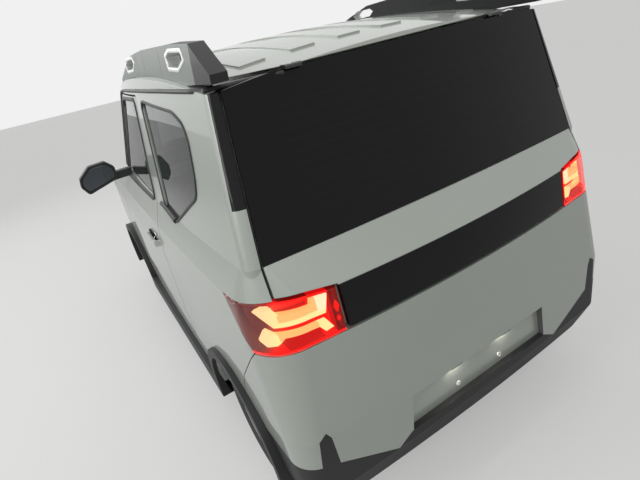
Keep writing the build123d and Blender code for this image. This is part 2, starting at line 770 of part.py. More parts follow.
# Jacking pads under the floor, just inside the sills.
JACK_X = (-500, 560)
JACK_Y = 620
JACK_PAD = (90, 50, 12)
with BuildPart() as jack_pads:
    with Locations(*((x, y, FLOOR_TOP - FLOOR_THICK - JACK_PAD[2] / 2) for x in JACK_X for y in (-JACK_Y, JACK_Y))):
        Box(*JACK_PAD)
with BuildPart() as floor_pan:
    add(front_floor)
    add(riser)
    add(inside_rear)
    add(end_panel)
    add(striker.part)
    add(jack_pads.part)
save(floor_pan.part, "floor_pan")

# Wheel housings.
def housing(x, inner, low):
    """Drum-shaped inner fender over one wheel, open to the outside and below."""
    with BuildPart() as drum:
        add(axle_cylinder(x, ARCH_RADIUS + HOUSING_WALL, inner - HOUSING_WALL, HOUSING_OUTER))
        add(axle_cylinder(x, ARCH_RADIUS, inner, SPAN), mode=Mode.SUBTRACT)
        add(box_block((x - 400, x + 400), (0, SPAN), (0, low)), mode=Mode.SUBTRACT)
    return drum.part


KINGPIN_FOOT = (AXLE_FRONT_X, 622, 165)
KINGPIN_TOP = (AXLE_FRONT_X, 520, 790)
rear_housing = housing(AXLE_REAR_X, REAR_HOUSING_INNER, FLOOR_TOP)
front_housing = housing(AXLE_FRONT_X, FRONT_HOUSING_INNER, 330)
strut_room = box_block(
    (AXLE_FRONT_X - 95, AXLE_FRONT_X + 95), (FRONT_HOUSING_INNER + 15, 640), (450, 600)
)
front_housing = trimmed(front_housing, keep=[liner_outer], cut=[strut_room])
axle_room = box_block((AXLE_REAR_X - 60, AXLE_REAR_X + 60), (500, 600), (200, 330))
rear_housing = trimmed(rear_housing, keep=[liner_outer], cut=[axle_room])
with BuildPart() as housings:
    add(rear_housing)
    add(front_housing)
    mirror(about=Plane.XZ)
save(housings.part, "wheel_housings")

# Front structure: bulkhead, side rails, bumper beam, lamp carrier and strut towers.
BULKHEAD_X = 640
BULKHEAD_WALL = 20
TOWER_X = 75
RAIL_INNER = 340
RAIL_OUTER = 400
RAIL_LOW = 400
RAIL_HIGH = 470
front_housing_room = axle_cylinder(
    AXLE_FRONT_X,
    ARCH_RADIUS + HOUSING_WALL + SEAT_GAP,
    FRONT_HOUSING_INNER - HOUSING_WALL - SEAT_GAP,
    SPAN,
)
bulkhead = prism(
    Plane.XZ,
    [
        (BULKHEAD_X, FLOOR_TOP),
        (BULKHEAD_X + BULKHEAD_WALL, FLOOR_TOP),
        (BULKHEAD_X + BULKHEAD_WALL, 640),
        (880, 700),
        (880, 1062),
        (860, 1062),
        (860, 715),
        (BULKHEAD_X, 655),
    ],
    -SPAN,
    SPAN,
)
bulkhead = trimmed(bulkhead, keep=[liner_outer])

# The knuckle turns about the line from the lower ball joint to the strut top.
BALL_PIN = 8
STRUT_ROD = 7
KINGPIN_FIT = 0.5
KINGPIN_LENGTH = math.dist(KINGPIN_FOOT, KINGPIN_TOP)


def kingpin_rod(radius, start=-100, end=KINGPIN_LENGTH + 100):
    """Round rod along the steering line of the left knuckle."""
    line = Plane(
        origin=KINGPIN_FOOT,
        x_dir=(1, 0, 0),
        z_dir=(0, KINGPIN_TOP[1] - KINGPIN_FOOT[1], KINGPIN_TOP[2] - KINGPIN_FOOT[2]),
    )
    with BuildPart() as rod:
        with BuildSketch(line.offset(start)):
            Circle(radius)
        extrude(amount=end - start)
    return rod.part


lamp_carrier = trimmed(
    liner_layer,
    keep=[box_block((1250, 1600), (-SPAN, SPAN), (RAIL_LOW, 850))],
    cut=[front_housing_room, mirrored(front_housing_room)],
)
with BuildPart() as tower:
    with Locations((AXLE_FRONT_X, (RAIL_INNER + 590) / 2, KINGPIN_TOP[2] + 6)):
        Box(2 * TOWER_X + 20, 590 - RAIL_INNER, 12)
    with Locations((AXLE_FRONT_X, FRONT_HOUSING_INNER - HOUSING_WALL - SEAT_GAP - 8, (RAIL_LOW + KINGPIN_TOP[2]) / 2)):
        Box(2 * TOWER_X + 20, 16, KINGPIN_TOP[2] - RAIL_LOW)
    add(kingpin_rod(STRUT_ROD + KINGPIN_FIT), mode=Mode.SUBTRACT)
rail = box_block((BULKHEAD_X + BULKHEAD_WALL, 1440), (RAIL_INNER, RAIL_OUTER + 1), (RAIL_LOW, RAIL_HIGH))
with BuildPart() as front_structure:
    add(bulkhead)
    add(lamp_carrier)
    add(rail)
    add(mirrored(rail))
    add(tower.part)
    add(mirrored(tower.part))
    add(liner_outer, mode=Mode.INTERSECT)
    add(hinge_arms.part)
    add(mirrored(hinge_arms.part))
save(front_structure.part, "front_structure")

# Side cladding: arch flares and sill strip, standing out from the body.
CLADDING_LOW = 198
FLARE_WIDTH = 42
SILL_TOP = 292
with BuildPart() as flare:
    with BuildSketch(Plane.XZ.offset(-CLADDING_HALF)):
        with BuildLine():
            Polyline(
                (AXLE_REAR_X, CLADDING_LOW),
                (AXLE_FRONT_X, CLADDING_LOW),
                (AXLE_FRONT_X, SILL_TOP),
                (AXLE_REAR_X, SILL_TOP),
                close=True,
            )
        make_face()
        with Locations((AXLE_REAR_X, TYRE_RADIUS), (AXLE_FRONT_X, TYRE_RADIUS)):
            Circle(ARCH_RADIUS + FLARE_WIDTH)
        with Locations((AXLE_REAR_X, TYRE_RADIUS), (AXLE_FRONT_X, TYRE_RADIUS)):
            Circle(ARCH_RADIUS, mode=Mode.SUBTRACT)
        with BuildLine():
            Polyline((-1700, -200), (1700, -200), (1700, CLADDING_LOW), (-1700, CLADDING_LOW), close=True)
        make_face(mode=Mode.SUBTRACT)
    extrude(amount=CLADDING_HALF - SILL_HALF)
cladding = trimmed(flare.part, cut=[seat_form, side_prism(DOOR_OUTLINE, -1)])
save(with_mirror(cladding.solids().sort_by(SortBy.VOLUME)[-1]), "side_cladding")

# Roof rails with two six-sided holes each.
RAIL_SIDE = [
    (-1331, ROOF_JOINT_Z + 1),
    (-1331, 1549),
    (-1205, 1624),
    (-1000, 1638),
    (-640, RAIL_TOP),
    (-423, RAIL_TOP - 5),
    (-262, 1608),
    (-108, 1566),
    (-96, ROOF_JOINT_Z + 1),
]
RAIL_HOLE_REAR = [(-971, 1606), (-1007, 1616), (-1127, 1609), (-1136, 1591), (-1079, 1573), (-981, 1579)]
RAIL_HOLE_FRONT = [(-292, 1611), (-332, 1628), (-440, 1629), (-462, 1614), (-430, 1595), (-305, 1593)]
RAIL_SECTION = [(612, 1500), (604, 1580), (588, 1700), (546, 1700), (560, 1580), (566, 1500)]
with BuildPart() as roof_rail:
    with BuildSketch(Plane.YZ.offset(-1400)):
        with BuildLine():
            Polyline(*RAIL_SECTION, close=True)
        make_face()
    extrude(amount=1700)
roof_rail_left = trimmed(
    roof_rail.part,
    keep=[side_prism(RAIL_SIDE)],
    cut=[seat_form, side_prism(RAIL_HOLE_REAR), side_prism(RAIL_HOLE_FRONT)],
)
save(with_mirror(roof_rail_left.solids().sort_by(SortBy.VOLUME)[-1]), "roof_rails")

# Seats, plain solids of the right size.
SEAT_Y = 335
FRONT_SEAT = [
    (60, FLOOR_TOP + SEAT_GAP),
    (330, FLOOR_TOP + SEAT_GAP),
    (340, 420),
    (390, 470),
    (370, 545),
    (-10, 520),
    (-150, 1060),
    (-165, 1180),
    (-215, 1280),
    (-255, 1275),
    (-260, 1060),
    (-135, 480),
    (-80, 420),
    (50, 420),
]
with BuildPart() as front_seat:
    with BuildSketch(Plane.XZ.offset(-SEAT_Y - 235)):
        with BuildLine():
            FilletPolyline(*FRONT_SEAT, radius=12, close=True)
        make_face()
    extrude(amount=470)
save(with_mirror(front_seat.part), "front_seats")
REAR_SEAT = [
    (-600, REAR_FLOOR_TOP + SEAT_GAP),
    (-580, 560),
    (-600, 615),
    (-950, 590),
    (-1060, 1020),
    (-1150, 1140),
    (-1200, 1130),
    (-1170, 1000),
    (-1080, REAR_FLOOR_TOP + SEAT_GAP),
]
with BuildPart() as rear_seat:
    with BuildSketch(Plane.XZ.offset(-530)):
        with BuildLine():
            FilletPolyline(*REAR_SEAT, radius=12, close=True)
        make_face()
    extrude(amount=1060)
save(rear_seat.part, "rear_seat")

# Dashboard and steering wheel.
DASH_HALF = 600
with BuildPart() as dashboard:
    with BuildSketch(Plane.XZ.offset(-DASH_HALF)):
        with BuildLine():
            FilletPolyline(
                (860 - SEAT_GAP, 730),
                (640, 700),
                (600, 760),
                (610, 930),
                (660, 965),
                (740, 965),
                (860 - SEAT_GAP, 925),
                radius=15,
                close=True,
            )
        make_face()
    extrude(amount=2 * DASH_HALF)
save(dashboard.part, "dashboard")
WHEEL_CENTRE = (425, SEAT_Y, 905)
wheel_plane = Plane(origin=WHEEL_CENTRE, x_dir=(0, 1, 0), z_dir=(-math.cos(math.radians(25)), 0, math.sin(math.radians(25))))
with BuildPart() as steering_wheel:
    with BuildSketch(Plane(origin=WHEEL_CENTRE, x_dir=wheel_plane.x_dir, z_dir=wheel_plane.y_dir)):
        with Locations((178, 0)):
            Circle(14)
    revolve(axis=Axis(WHEEL_CENTRE, wheel_plane.z_dir))
    with BuildSketch(wheel_plane.offset(-20)):
        Circle(60)
        Rectangle(350, 34)
        with Locations((0, 85)):
            Rectangle(34, 170)
    extrude(amount=18)
    with BuildSketch(wheel_plane.offset(-20)):
        Circle(26)
    extrude(amount=-400)
    add(dashboard.part, mode=Mode.SUBTRACT)
steering_solid = steering_wheel.part.solids().sort_by(SortBy.VOLUME)[-1]
save(steering_solid, "steering_wheel")

# Battery pack under the floor.
BATTERY = ((-520, 560), (-450, 450), (140, FLOOR_TOP - FLOOR_THICK))
with BuildPart() as battery:
    add(box_block(*BATTERY))
    chamfer(battery.edges().group_by(Axis.Z)[0], 20)
save(battery.part, "battery_pack")

# Front suspension carrier with its lower arms.
SPINDLE_RADIUS = 14
with BuildPart() as arm:
    with BuildSketch(Plane.XY.offset(KINGPIN_FOOT[2] - 25)):
        with BuildLine():
            Polyline((940, 300), (1080, 300), (AXLE_FRONT_X + 18, 600), (AXLE_FRONT_X - 18, 600), close=True)
        make_face()
        with Locations((AXLE_FRONT_X, KINGPIN_FOOT[1])):
            Circle(24)
    extrude(amount=20)
    add(kingpin_rod(BALL_PIN + KINGPIN_FIT), mode=Mode.SUBTRACT)
with BuildPart() as front_suspension:
    add(box_block((930, 1090), (-330, 330), (140, 200)))
    add(box_block((960, 1060), (330, 398), (140, RAIL_LOW)))
    add(box_block((960, 1060), (-398, -330), (140, RAIL_LOW)))
    add(arm.part)
    add(mirrored(arm.part))
save(front_suspension.part, "front_suspension")

# Knuckle with its strut, spring and spindle; it turns about the line from ball joint to strut top.
HUB_FACE = 655
with BuildPart() as strut:
    with BuildSketch(Plane.XY.offset(400)):
        with Locations((AXLE_FRONT_X, 540)):
            Circle(24)
    extrude(amount=180)
    with BuildSketch(Plane.XY.offset(560)):
        with Locations((AXLE_FRONT_X, 540)):
            Circle(62)
    with BuildSketch(Plane.XY.offset(KINGPIN_TOP[2] - 12)):
        with Locations((AXLE_FRONT_X, KINGPIN_TOP[1])):
            Circle(58)
    loft()
with BuildPart() as knuckle:
    add(box_block((AXLE_FRONT_X - 24, AXLE_FRONT_X + 24), (596, 632), (KINGPIN_FOOT[2] + 6, 372)))
    add(box_block((AXLE_FRONT_X - 24, AXLE_FRONT_X + 24), (520, 614), (345, 372)))
    add(box_block((AXLE_FRONT_X - 24, AXLE_FRONT_X + 24), (520, 562), (345, 430)))
    add(strut.part)
    add(kingpin_rod(STRUT_ROD, KINGPIN_LENGTH - 30, KINGPIN_LENGTH + 25))
    add(kingpin_rod(BALL_PIN, -22, 30))
    with BuildSketch(Plane.XZ.offset(-632)):
        with Locations((AXLE_FRONT_X, TYRE_RADIUS)):
            Circle(38)
    extrude(amount=632 - HUB_FACE)
    with BuildSketch(Plane.XZ.offset(-632)):
        with Locations((AXLE_FRONT_X, TYRE_RADIUS)):
            Circle(SPINDLE_RADIUS)
    extrude(amount=632 - 684)
save(knuckle.part, "knuckle_left")
save(mirrored(knuckle.part), "knuckle_right")

# Rear axle with its motor and reducer block, arms and springs.
with BuildPart() as rear_axle:
    with BuildSketch(Plane.XZ):
        with Locations((AXLE_REAR_X, TYRE_RADIUS)):
            Circle(34)
    extrude(amount=632, both=True)
    add(box_block((AXLE_REAR_X - 150, AXLE_REAR_X + 130), (-170, 190), (140, 390)))
    with BuildSketch(Plane.XZ.offset(-632)):
        with Locations((AXLE_REAR_X, TYRE_RADIUS)):
            Circle(60)
    extrude(amount=632 - HUB_FACE)
    with BuildSketch(Plane.XZ.offset(-HUB_FACE)):
        with Locations((AXLE_REAR_X, TYRE_RADIUS)):
            Circle(SPINDLE_RADIUS)
    extrude(amount=HUB_FACE - 684)
    with BuildSketch(Plane.XZ.offset(632)):
        with Locations((AXLE_REAR_X, TYRE_RADIUS)):
            Circle(60)
    extrude(amount=HUB_FACE - 632)
    with BuildSketch(Plane.XZ.offset(HUB_FACE)):
        with Locations((AXLE_REAR_X, TYRE_RADIUS)):
            Circle(SPINDLE_RADIUS)
    extrude(amount=684 - HUB_FACE)
    with Locations((AXLE_REAR_X, 470, (REAR_FLOOR_TOP - FLOOR_THICK + TYRE_RADIUS) / 2)):
        Cylinder(48, REAR_FLOOR_TOP - FLOOR_THICK - TYRE_RADIUS)
    with Locations((AXLE_REAR_X, -470, (REAR_FLOOR_TOP - FLOOR_THICK + TYRE_RADIUS) / 2)):
        Cylinder(48, REAR_FLOOR_TOP - FLOOR_THICK - TYRE_RADIUS)
    for y in (-420, 420):
        add(box_block((AXLE_REAR_X, RISER_X - 60), (y - 20, y + 20), (200, 235)))
save(rear_axle.part, "rear_axle")

# Wheels: pressed rim with a hub bore, and its tyre.
RIM_SEAT = 152.4
RIM_HALF = 62
with BuildPart() as rim:
    with BuildSketch(Plane.YZ):
        with BuildLine():
            Polyline(
                (-RIM_HALF, RIM_SEAT + 12),
                (-RIM_HALF, 136),
                (20, 136),
                (28, 60),
                (6, 60),
                (6, SPINDLE_RADIUS + BEARING_GAP),
                (16, SPINDLE_RADIUS + BEARING_GAP),
                (16, 50),
                (38, 66),
                (38, 138),
                (RIM_HALF, 142),
                (RIM_HALF, RIM_SEAT + 12),
                (RIM_HALF - 6, RIM_SEAT + 12),
                (RIM_HALF - 6, RIM_SEAT),
                (6 - RIM_HALF, RIM_SEAT),
                (6 - RIM_HALF, RIM_SEAT + 12),
                close=True,
            )
        make_face()
    revolve(axis=Axis.Y)
    with BuildSketch(Plane.XZ.offset(-80)):
        with PolarLocations(100, 8):
            Circle(20)
    extrude(amount=100, mode=Mode.SUBTRACT)
with BuildPart() as tyre:
    with BuildSketch(Plane.YZ):
        with BuildLine():
            bead = RIM_HALF - 6 - SEAT_GAP
            Line((-bead, RIM_SEAT + SEAT_GAP), (bead, RIM_SEAT + SEAT_GAP))
            Line((bead, RIM_SEAT + SEAT_GAP), (bead, RIM_SEAT + 14))
            ThreePointArc((bead, RIM_SEAT + 14), (TYRE_WIDTH / 2, 205), (58, TYRE_RADIUS - 6))
            Line((58, TYRE_RADIUS - 6), (48, TYRE_RADIUS))
            Line((48, TYRE_RADIUS), (-48, TYRE_RADIUS))
            Line((-48, TYRE_RADIUS), (-58, TYRE_RADIUS - 6))
            ThreePointArc((-58, TYRE_RADIUS - 6), (-TYRE_WIDTH / 2, 205), (-bead, RIM_SEAT + 14))
            Line((-bead, RIM_SEAT + 14), (-bead, RIM_SEAT + SEAT_GAP))
        make_face()
    revolve(axis=Axis.Y)
WHEELS = {
    "front_left": (AXLE_FRONT_X, 1),
    "front_right": (AXLE_FRONT_X, -1),
    "rear_left": (AXLE_REAR_X, 1),
    "rear_right": (AXLE_REAR_X, -1),
}
for name, (x, side) in WHEELS.items():
    spin = 0 if side > 0 else 180
    place = Location((x, side * WHEEL_HALF_TRACK, TYRE_RADIUS), (0, 0, spin))
    save(rim.part.moved(place), f"rim_{name}")
    save(tyre.part.moved(place), f"tyre_{name}")

# Door mirrors on their arms.
MIRROR_FRONT_X = 345
MIRROR_GLASS_X = 262
MIRROR_OUTLINE = [
    (750, 1084),
    (748, 1150),
    (786, 1188),
    (872, 1185),
    (932, 1136),
    (941, 1092),
    (915, 1043),
    (800, 1072),
]
MIRROR_ARM = ((MIRROR_GLASS_X + 8, MIRROR_FRONT_X - 20), (640, 790), (1078, 1118))
with BuildPart() as mirror_left:
    with BuildSketch(Plane.YZ.offset(MIRROR_GLASS_X)):
        with BuildLine():
            FilletPolyline(*MIRROR_OUTLINE, radius=18, close=True)
        make_face()
    extrude(amount=48)
    with BuildSketch(Plane.YZ.offset(MIRROR_GLASS_X + 48)):
        with BuildLine():
            FilletPolyline(*MIRROR_OUTLINE, radius=18, close=True)
        make_face()
    extrude(amount=MIRROR_FRONT_X - MIRROR_GLASS_X - 48, taper=28)
    with BuildSketch(Plane.YZ.offset(MIRROR_GLASS_X)):
        with BuildLine():
            FilletPolyline(*MIRROR_OUTLINE, radius=18, close=True)
        make_face()
        offset(amount=-9, kind=Kind.INTERSECTION)
    extrude(amount=6, mode=Mode.SUBTRACT)
    add(box_block(*MIRROR_ARM))
    add(seat_form, mode=Mode.SUBTRACT)
mirror_solid = mirror_left.part.solids().sort_by(SortBy.VOLUME)[-1]
save(mirror_solid, "mirror_left")
save(mirrored(mirror_solid), "mirror_right")
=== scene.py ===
import bpy
import json
import math
from mathutils import Matrix, Vector


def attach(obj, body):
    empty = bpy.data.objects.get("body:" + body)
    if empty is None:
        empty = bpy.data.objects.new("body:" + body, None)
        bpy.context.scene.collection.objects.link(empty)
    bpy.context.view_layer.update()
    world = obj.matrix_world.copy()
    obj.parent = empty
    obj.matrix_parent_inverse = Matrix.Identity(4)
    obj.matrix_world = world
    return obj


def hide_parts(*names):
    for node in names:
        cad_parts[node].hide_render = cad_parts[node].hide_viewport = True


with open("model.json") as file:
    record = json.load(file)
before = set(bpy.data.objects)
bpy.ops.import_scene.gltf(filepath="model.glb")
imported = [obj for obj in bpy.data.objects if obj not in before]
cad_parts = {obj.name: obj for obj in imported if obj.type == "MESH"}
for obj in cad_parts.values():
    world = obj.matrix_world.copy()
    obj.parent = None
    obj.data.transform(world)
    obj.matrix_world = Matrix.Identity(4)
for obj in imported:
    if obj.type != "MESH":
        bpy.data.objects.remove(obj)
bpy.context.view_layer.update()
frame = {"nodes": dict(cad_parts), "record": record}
nodes = frame["nodes"]
bpy.ops.object.select_all(action="DESELECT")

# The camera stands behind the car's left rear corner, at about head height,
# tilted down and rolled, as the photograph was taken.
CAMERA_PLACE = Vector((-2.392, 0.951, 1.595))
CAMERA_YAW = math.radians(-26.41)
CAMERA_PITCH = math.radians(24.82)
CAMERA_ROLL = math.radians(-12.64)
CAMERA_FOCAL_PIXELS = 448.6
CAMERA_SENSOR_MM = 36
CAMERA_NEAR = 0.05
IMAGE_WIDTH_PIXELS = 640
forward = Vector((
    math.cos(CAMERA_YAW) * math.cos(CAMERA_PITCH),
    math.sin(CAMERA_YAW) * math.cos(CAMERA_PITCH),
    -math.sin(CAMERA_PITCH),
))
level_right = forward.cross(Vector((0, 0, 1))).normalized()
level_up = level_right.cross(forward)
camera_right = math.cos(CAMERA_ROLL) * level_right + math.sin(CAMERA_ROLL) * level_up
camera_up = math.cos(CAMERA_ROLL) * level_up - math.sin(CAMERA_ROLL) * level_right
camera_turn = Matrix((camera_right, camera_up, -forward)).transposed().to_4x4()
bpy.ops.object.camera_add()
camera = bpy.context.object
camera.name = "camera"
camera.matrix_world = Matrix.Translation(CAMERA_PLACE) @ camera_turn
camera.data.sensor_width = CAMERA_SENSOR_MM
camera.data.lens = CAMERA_FOCAL_PIXELS / IMAGE_WIDTH_PIXELS * CAMERA_SENSOR_MM
camera.data.clip_start = CAMERA_NEAR
bpy.context.scene.camera = camera
bpy.context.scene.view_settings.view_transform = "Standard"


# The studio: a plain pale floor under soft lamps, in a pale room.
# It belongs to the picture and not to the car.
class Signal:
    """A shader socket that takes Python's operators, each of which adds a Math node."""

    def __init__(self, finish, socket):
        self.finish = finish
        self.socket = socket

    def math(self, operation, first, second=0.0):
        values = {0: first, 1: second}
        return self.finish.node("ShaderNodeMath", {"operation": operation}, values)["Value"]

    def __add__(self, other):
        return self.math("ADD", self, other)

    def __radd__(self, other):
        return self.math("ADD", other, self)

    def __sub__(self, other):
        return self.math("SUBTRACT", self, other)

    def __rsub__(self, other):
        return self.math("SUBTRACT", other, self)

    def __mul__(self, other):
        return self.math("MULTIPLY", self, other)

    def __rmul__(self, other):
        return self.math("MULTIPLY", other, self)

    def __truediv__(self, other):
        return self.math("DIVIDE", self, other)

    def __gt__(self, other):
        return self.math("GREATER_THAN", self, other)

    def __lt__(self, other):
        return self.math("LESS_THAN", self, other)

    def __abs__(self):
        return self.math("ABSOLUTE", self)

    def at_least(self, other):
        return self.math("MAXIMUM", self, other)

    def at_most(self, other):
        return self.math("MINIMUM", self, other)

    def within(self, low, high):
        return (self > low) * (self < high)

    def zigzag(self, height):
        return self.math("PINGPONG", self, height)


class Finish:
    """One material, with its Principled shader fed by numbers, colours or signals."""

    def __init__(self, name):
        self.material = bpy.data.materials.new(name)
        self.material.use_nodes = True
        self.tree = self.material.node_tree
        self.tree.nodes.clear()
        self.place = self.node("ShaderNodeTexCoord", {}, {})["Object"]

    def node(self, kind, settings, values):
        """Adds a node, sets its settings and then its sockets, and returns its outputs by name."""
        made = self.tree.nodes.new(kind)
        for key, value in settings.items():
            if key == "stops":
                elements = made.color_ramp.elements
                while len(elements) < len(value):
                    elements.new(0.5)
                for element, (position, colour) in zip(elements, value):
                    element.position = position
                    element.color = colour
            else:
                setattr(made, key, value)
        for key, value in values.items():
            if isinstance(value, Signal):
                self.tree.links.new(value.socket, made.inputs[key])
            else:
                made.inputs[key].default_value = value
        return {out.name: Signal(self, out) for out in made.outputs if out.enabled}

    def axes(self):
        """The three parts of the place on the object, in metres."""
        parts = self.node("ShaderNodeSeparateXYZ", {}, {"Vector": self.place})
        return parts["X"], parts["Y"], parts["Z"]

    def noise(self, scale, detail=3.0, roughness=0.5):
        """Noise from 0 to 1, finer with a larger scale."""
        values = {"Vector": self.place, "Scale": scale, "Detail": detail, "Roughness": roughness}
        return self.node("ShaderNodeTexNoise", {"noise_dimensions": "3D"}, values)["Fac"]

    def cells(self, scale):
        """Distance to the next grain of a moulded or leathery grain."""
        settings = {"feature": "DISTANCE_TO_EDGE"}
        return self.node("ShaderNodeTexVoronoi", settings, {"Vector": self.place, "Scale": scale})["Distance"]

    def fading(self, signal, full, none):
        """One up to a value of a signal, falling smoothly to nothing at another."""
        values = {"Value": signal, "From Min": full, "From Max": none, "To Min": 1.0, "To Max": 0.0}
        return self.node("ShaderNodeMapRange", {"interpolation_type": "SMOOTHSTEP"}, values)["Result"]

    def blend(self, mask, low, high):
        """A colour between two, by a mask."""
        return self.node("ShaderNodeMix", {"data_type": "RGBA"}, {0: mask, 6: low, 7: high})["Result"]

    def bump(self, height, strength, distance, edge_radius=0.0):
        """Relief from a height, over edges that look rounded by a radius in metres."""
        values = {"Height": height, "Strength": strength, "Distance": distance}
        if edge_radius:
            values["Normal"] = self.node("ShaderNodeBevel", {"samples": 4}, {"Radius": edge_radius})["Normal"]
        return self.node("ShaderNodeBump", {}, values)["Normal"]

    def surface(self, **sockets):
        """Ends the material in a Principled shader; an underscore stands for a blank."""
        values = {key.replace("_", " "): value for key, value in sockets.items()}
        self.shader = self.node("ShaderNodeBsdfPrincipled", {}, values)["BSDF"]
        self.node("ShaderNodeOutputMaterial", {}, {"Surface": self.shader})
        return self.material

    def overlaid(self, mask, shader):
        """Lays another shader over the surface, by a mask."""
        mixed = self.node("ShaderNodeMixShader", {}, {0: mask, 1: self.shader, 2: shader})["Shader"]
        self.tree.links.new(mixed.socket, self.tree.nodes["Material Output"].inputs["Surface"])


def dress(material, *names):
    """Gives CAD nodes a finish."""
    for name in names:
        slots = nodes[name].data.materials
        slots.clear()
        slots.append(material)


FLOOR_SIZE = 60
FLOOR_COLOUR = (0.60, 0.60, 0.595, 1)
FLOOR_SEEN = 1.35
FLOOR_SHARE = 0.45
bpy.ops.mesh.primitive_plane_add(size=FLOOR_SIZE)
floor = bpy.context.object
floor.name = "studio_floor"
floor_finish = Finish("studio_floor")
floor_shine = 0.5 + 0.1 * floor_finish.noise(3)
floor.data.materials.append(floor_finish.surface(Base_Color=FLOOR_COLOUR, Roughness=floor_shine))
floor_light = floor_finish.node("ShaderNodeEmission", {}, {"Color": FLOOR_COLOUR, "Strength": FLOOR_SEEN})
from_camera = floor_finish.node("ShaderNodeLightPath", {}, {})["Is Camera Ray"]
floor_finish.overlaid(FLOOR_SHARE * from_camera, floor_light["Emission"])
floor_finish.material.cycles.emission_sampling = "NONE"

WORLD_LIGHT = 0.50
WORLD_SEEN = 0.88
world = bpy.data.worlds.new("studio")
bpy.context.scene.world = world
world.use_nodes = True
sky = world.node_tree
sky.nodes.clear()
ray = sky.nodes.new("ShaderNodeLightPath")
seen = ray.outputs["Is Camera Ray"]
for kind in ("Is Glossy Ray", "Is Transmission Ray"):
    either = sky.nodes.new("ShaderNodeMath")
    either.operation = "MAXIMUM"
    sky.links.new(seen, either.inputs[0])
    sky.links.new(ray.outputs[kind], either.inputs[1])
    seen = either.outputs[0]
brightness = sky.nodes.new("ShaderNodeMapRange")
brightness.inputs["To Min"].default_value = WORLD_LIGHT
brightness.inputs["To Max"].default_value = WORLD_SEEN
sky.links.new(seen, brightness.inputs["Value"])
background = sky.nodes.new("ShaderNodeBackground")
background.inputs["Color"].default_value = (1, 1, 1, 1)
sky.links.new(brightness.outputs[0], background.inputs["Strength"])
sky_end = sky.nodes.new("ShaderNodeOutputWorld")
sky.links.new(background.outputs[0], sky_end.inputs["Surface"])

LAMP_AIM = Vector((0, 0, 0.7))
STUDIO_LAMPS = {
    "lamp_over": ((0.3, 0.0, 4.8), 4.0, 22),
    "lamp_left": ((-1.0, 5.0, 3.2), 2.5, 100),
    "lamp_rear": ((-4.2, 1.2, 4.6), 2.5, 55),
    "lamp_front": ((4.2, 2.6, 3.4), 2.5, 60),
}
for name, (place, size, power) in STUDIO_LAMPS.items():
    bpy.ops.object.light_add(type="AREA", location=place)
    lamp = bpy.context.object
    lamp.name = name
    lamp.data.size = size
    lamp.data.energy = power
    lamp.rotation_euler = (LAMP_AIM - Vector(place)).to_track_quat("-Z", "Y").to_euler()

# Body shell: pressed steel panels welded and bolted together, in a pale sage metallic paint
# under clear lacquer. Their edges are rolled, so they catch the light. Inside the cabin they are
# covered by a grey lining.
PAINT_COLOUR = (0.350, 0.378, 0.342, 1)
PAINT_SHADE = (0.322, 0.350, 0.314, 1)
LINING_DARK = (0.085, 0.085, 0.088, 1)
LINING_LIGHT = (0.130, 0.130, 0.134, 1)
HINGE_BLACK = (0.012, 0.012, 0.012, 1)
PANEL_EDGE = 0.0025
CABIN_FRONT_X = 0.93
CABIN_FLOOR_Z = 0.30
LINED_SIDE_Y = 0.715
LINED_SIDE_LEAN = -0.30
LINED_ROOF_Z = 1.44
LINED_ROOF_LEAN = -0.5
LINED_GATE_X = -1.15
LINED_GATE_LEAN = 0.4
GATE_HINGE_Y = 0.380
GATE_HINGE_HALF = 0.027
GATE_HINGE_FOOT_Z = 1.512
GATE_HINGE_FRONT_X = -1.283
paint = Finish("sage_paint")
flake = paint.noise(900, 1.0)
paint_x, paint_y, paint_z = paint.axes()
facing = paint.node("ShaderNodeNewGeometry", {}, {})["True Normal"]
faces = paint.node("ShaderNodeSeparateXYZ", {}, {"Vector": facing})
in_cabin = (paint_x < CABIN_FRONT_X) * (paint_z > CABIN_FLOOR_Z)
lined_side = (paint_y * faces["Y"] < LINED_SIDE_LEAN) * (abs(paint_y) < LINED_SIDE_Y)
lined_top = (faces["Z"] < LINED_ROOF_LEAN) * (paint_z > LINED_ROOF_Z)
lined_gate = (faces["X"] > LINED_GATE_LEAN) * (paint_x < LINED_GATE_X)
lined = (lined_side + lined_top).at_least(lined_gate).at_most(1.0) * in_cabin
gate_hinge = abs(abs(paint_y) - GATE_HINGE_Y) < GATE_HINGE_HALF
gate_hinge = gate_hinge * (paint_z > GATE_HINGE_FOOT_Z) * (paint_x < GATE_HINGE_FRONT_X)
paint_body = paint.blend(paint.noise(2.2, 2.0), PAINT_SHADE, PAINT_COLOUR)
paint_body = paint.blend(gate_hinge, paint_body, HINGE_BLACK)
lining_knit = paint.blend(paint.noise(350, 2.0), LINING_DARK, LINING_LIGHT)
paint_material = paint.surface(
    Base_Color=paint.blend(lined, paint_body, lining_knit),
    Metallic=0.2 - 0.2 * lined,
    Roughness=0.30 + 0.10 * flake + 0.45 * lined,
    Coat_Weight=0.8 - 0.8 * lined,
    Coat_Roughness=0.03,
    Normal=paint.bump(flake, 0.02, 0.0002, PANEL_EDGE),
)
painted = [part["node"] for part in frame["record"]["subparts"] if part["material_slot"] == "body_paint"]
dress(paint_material, *painted)

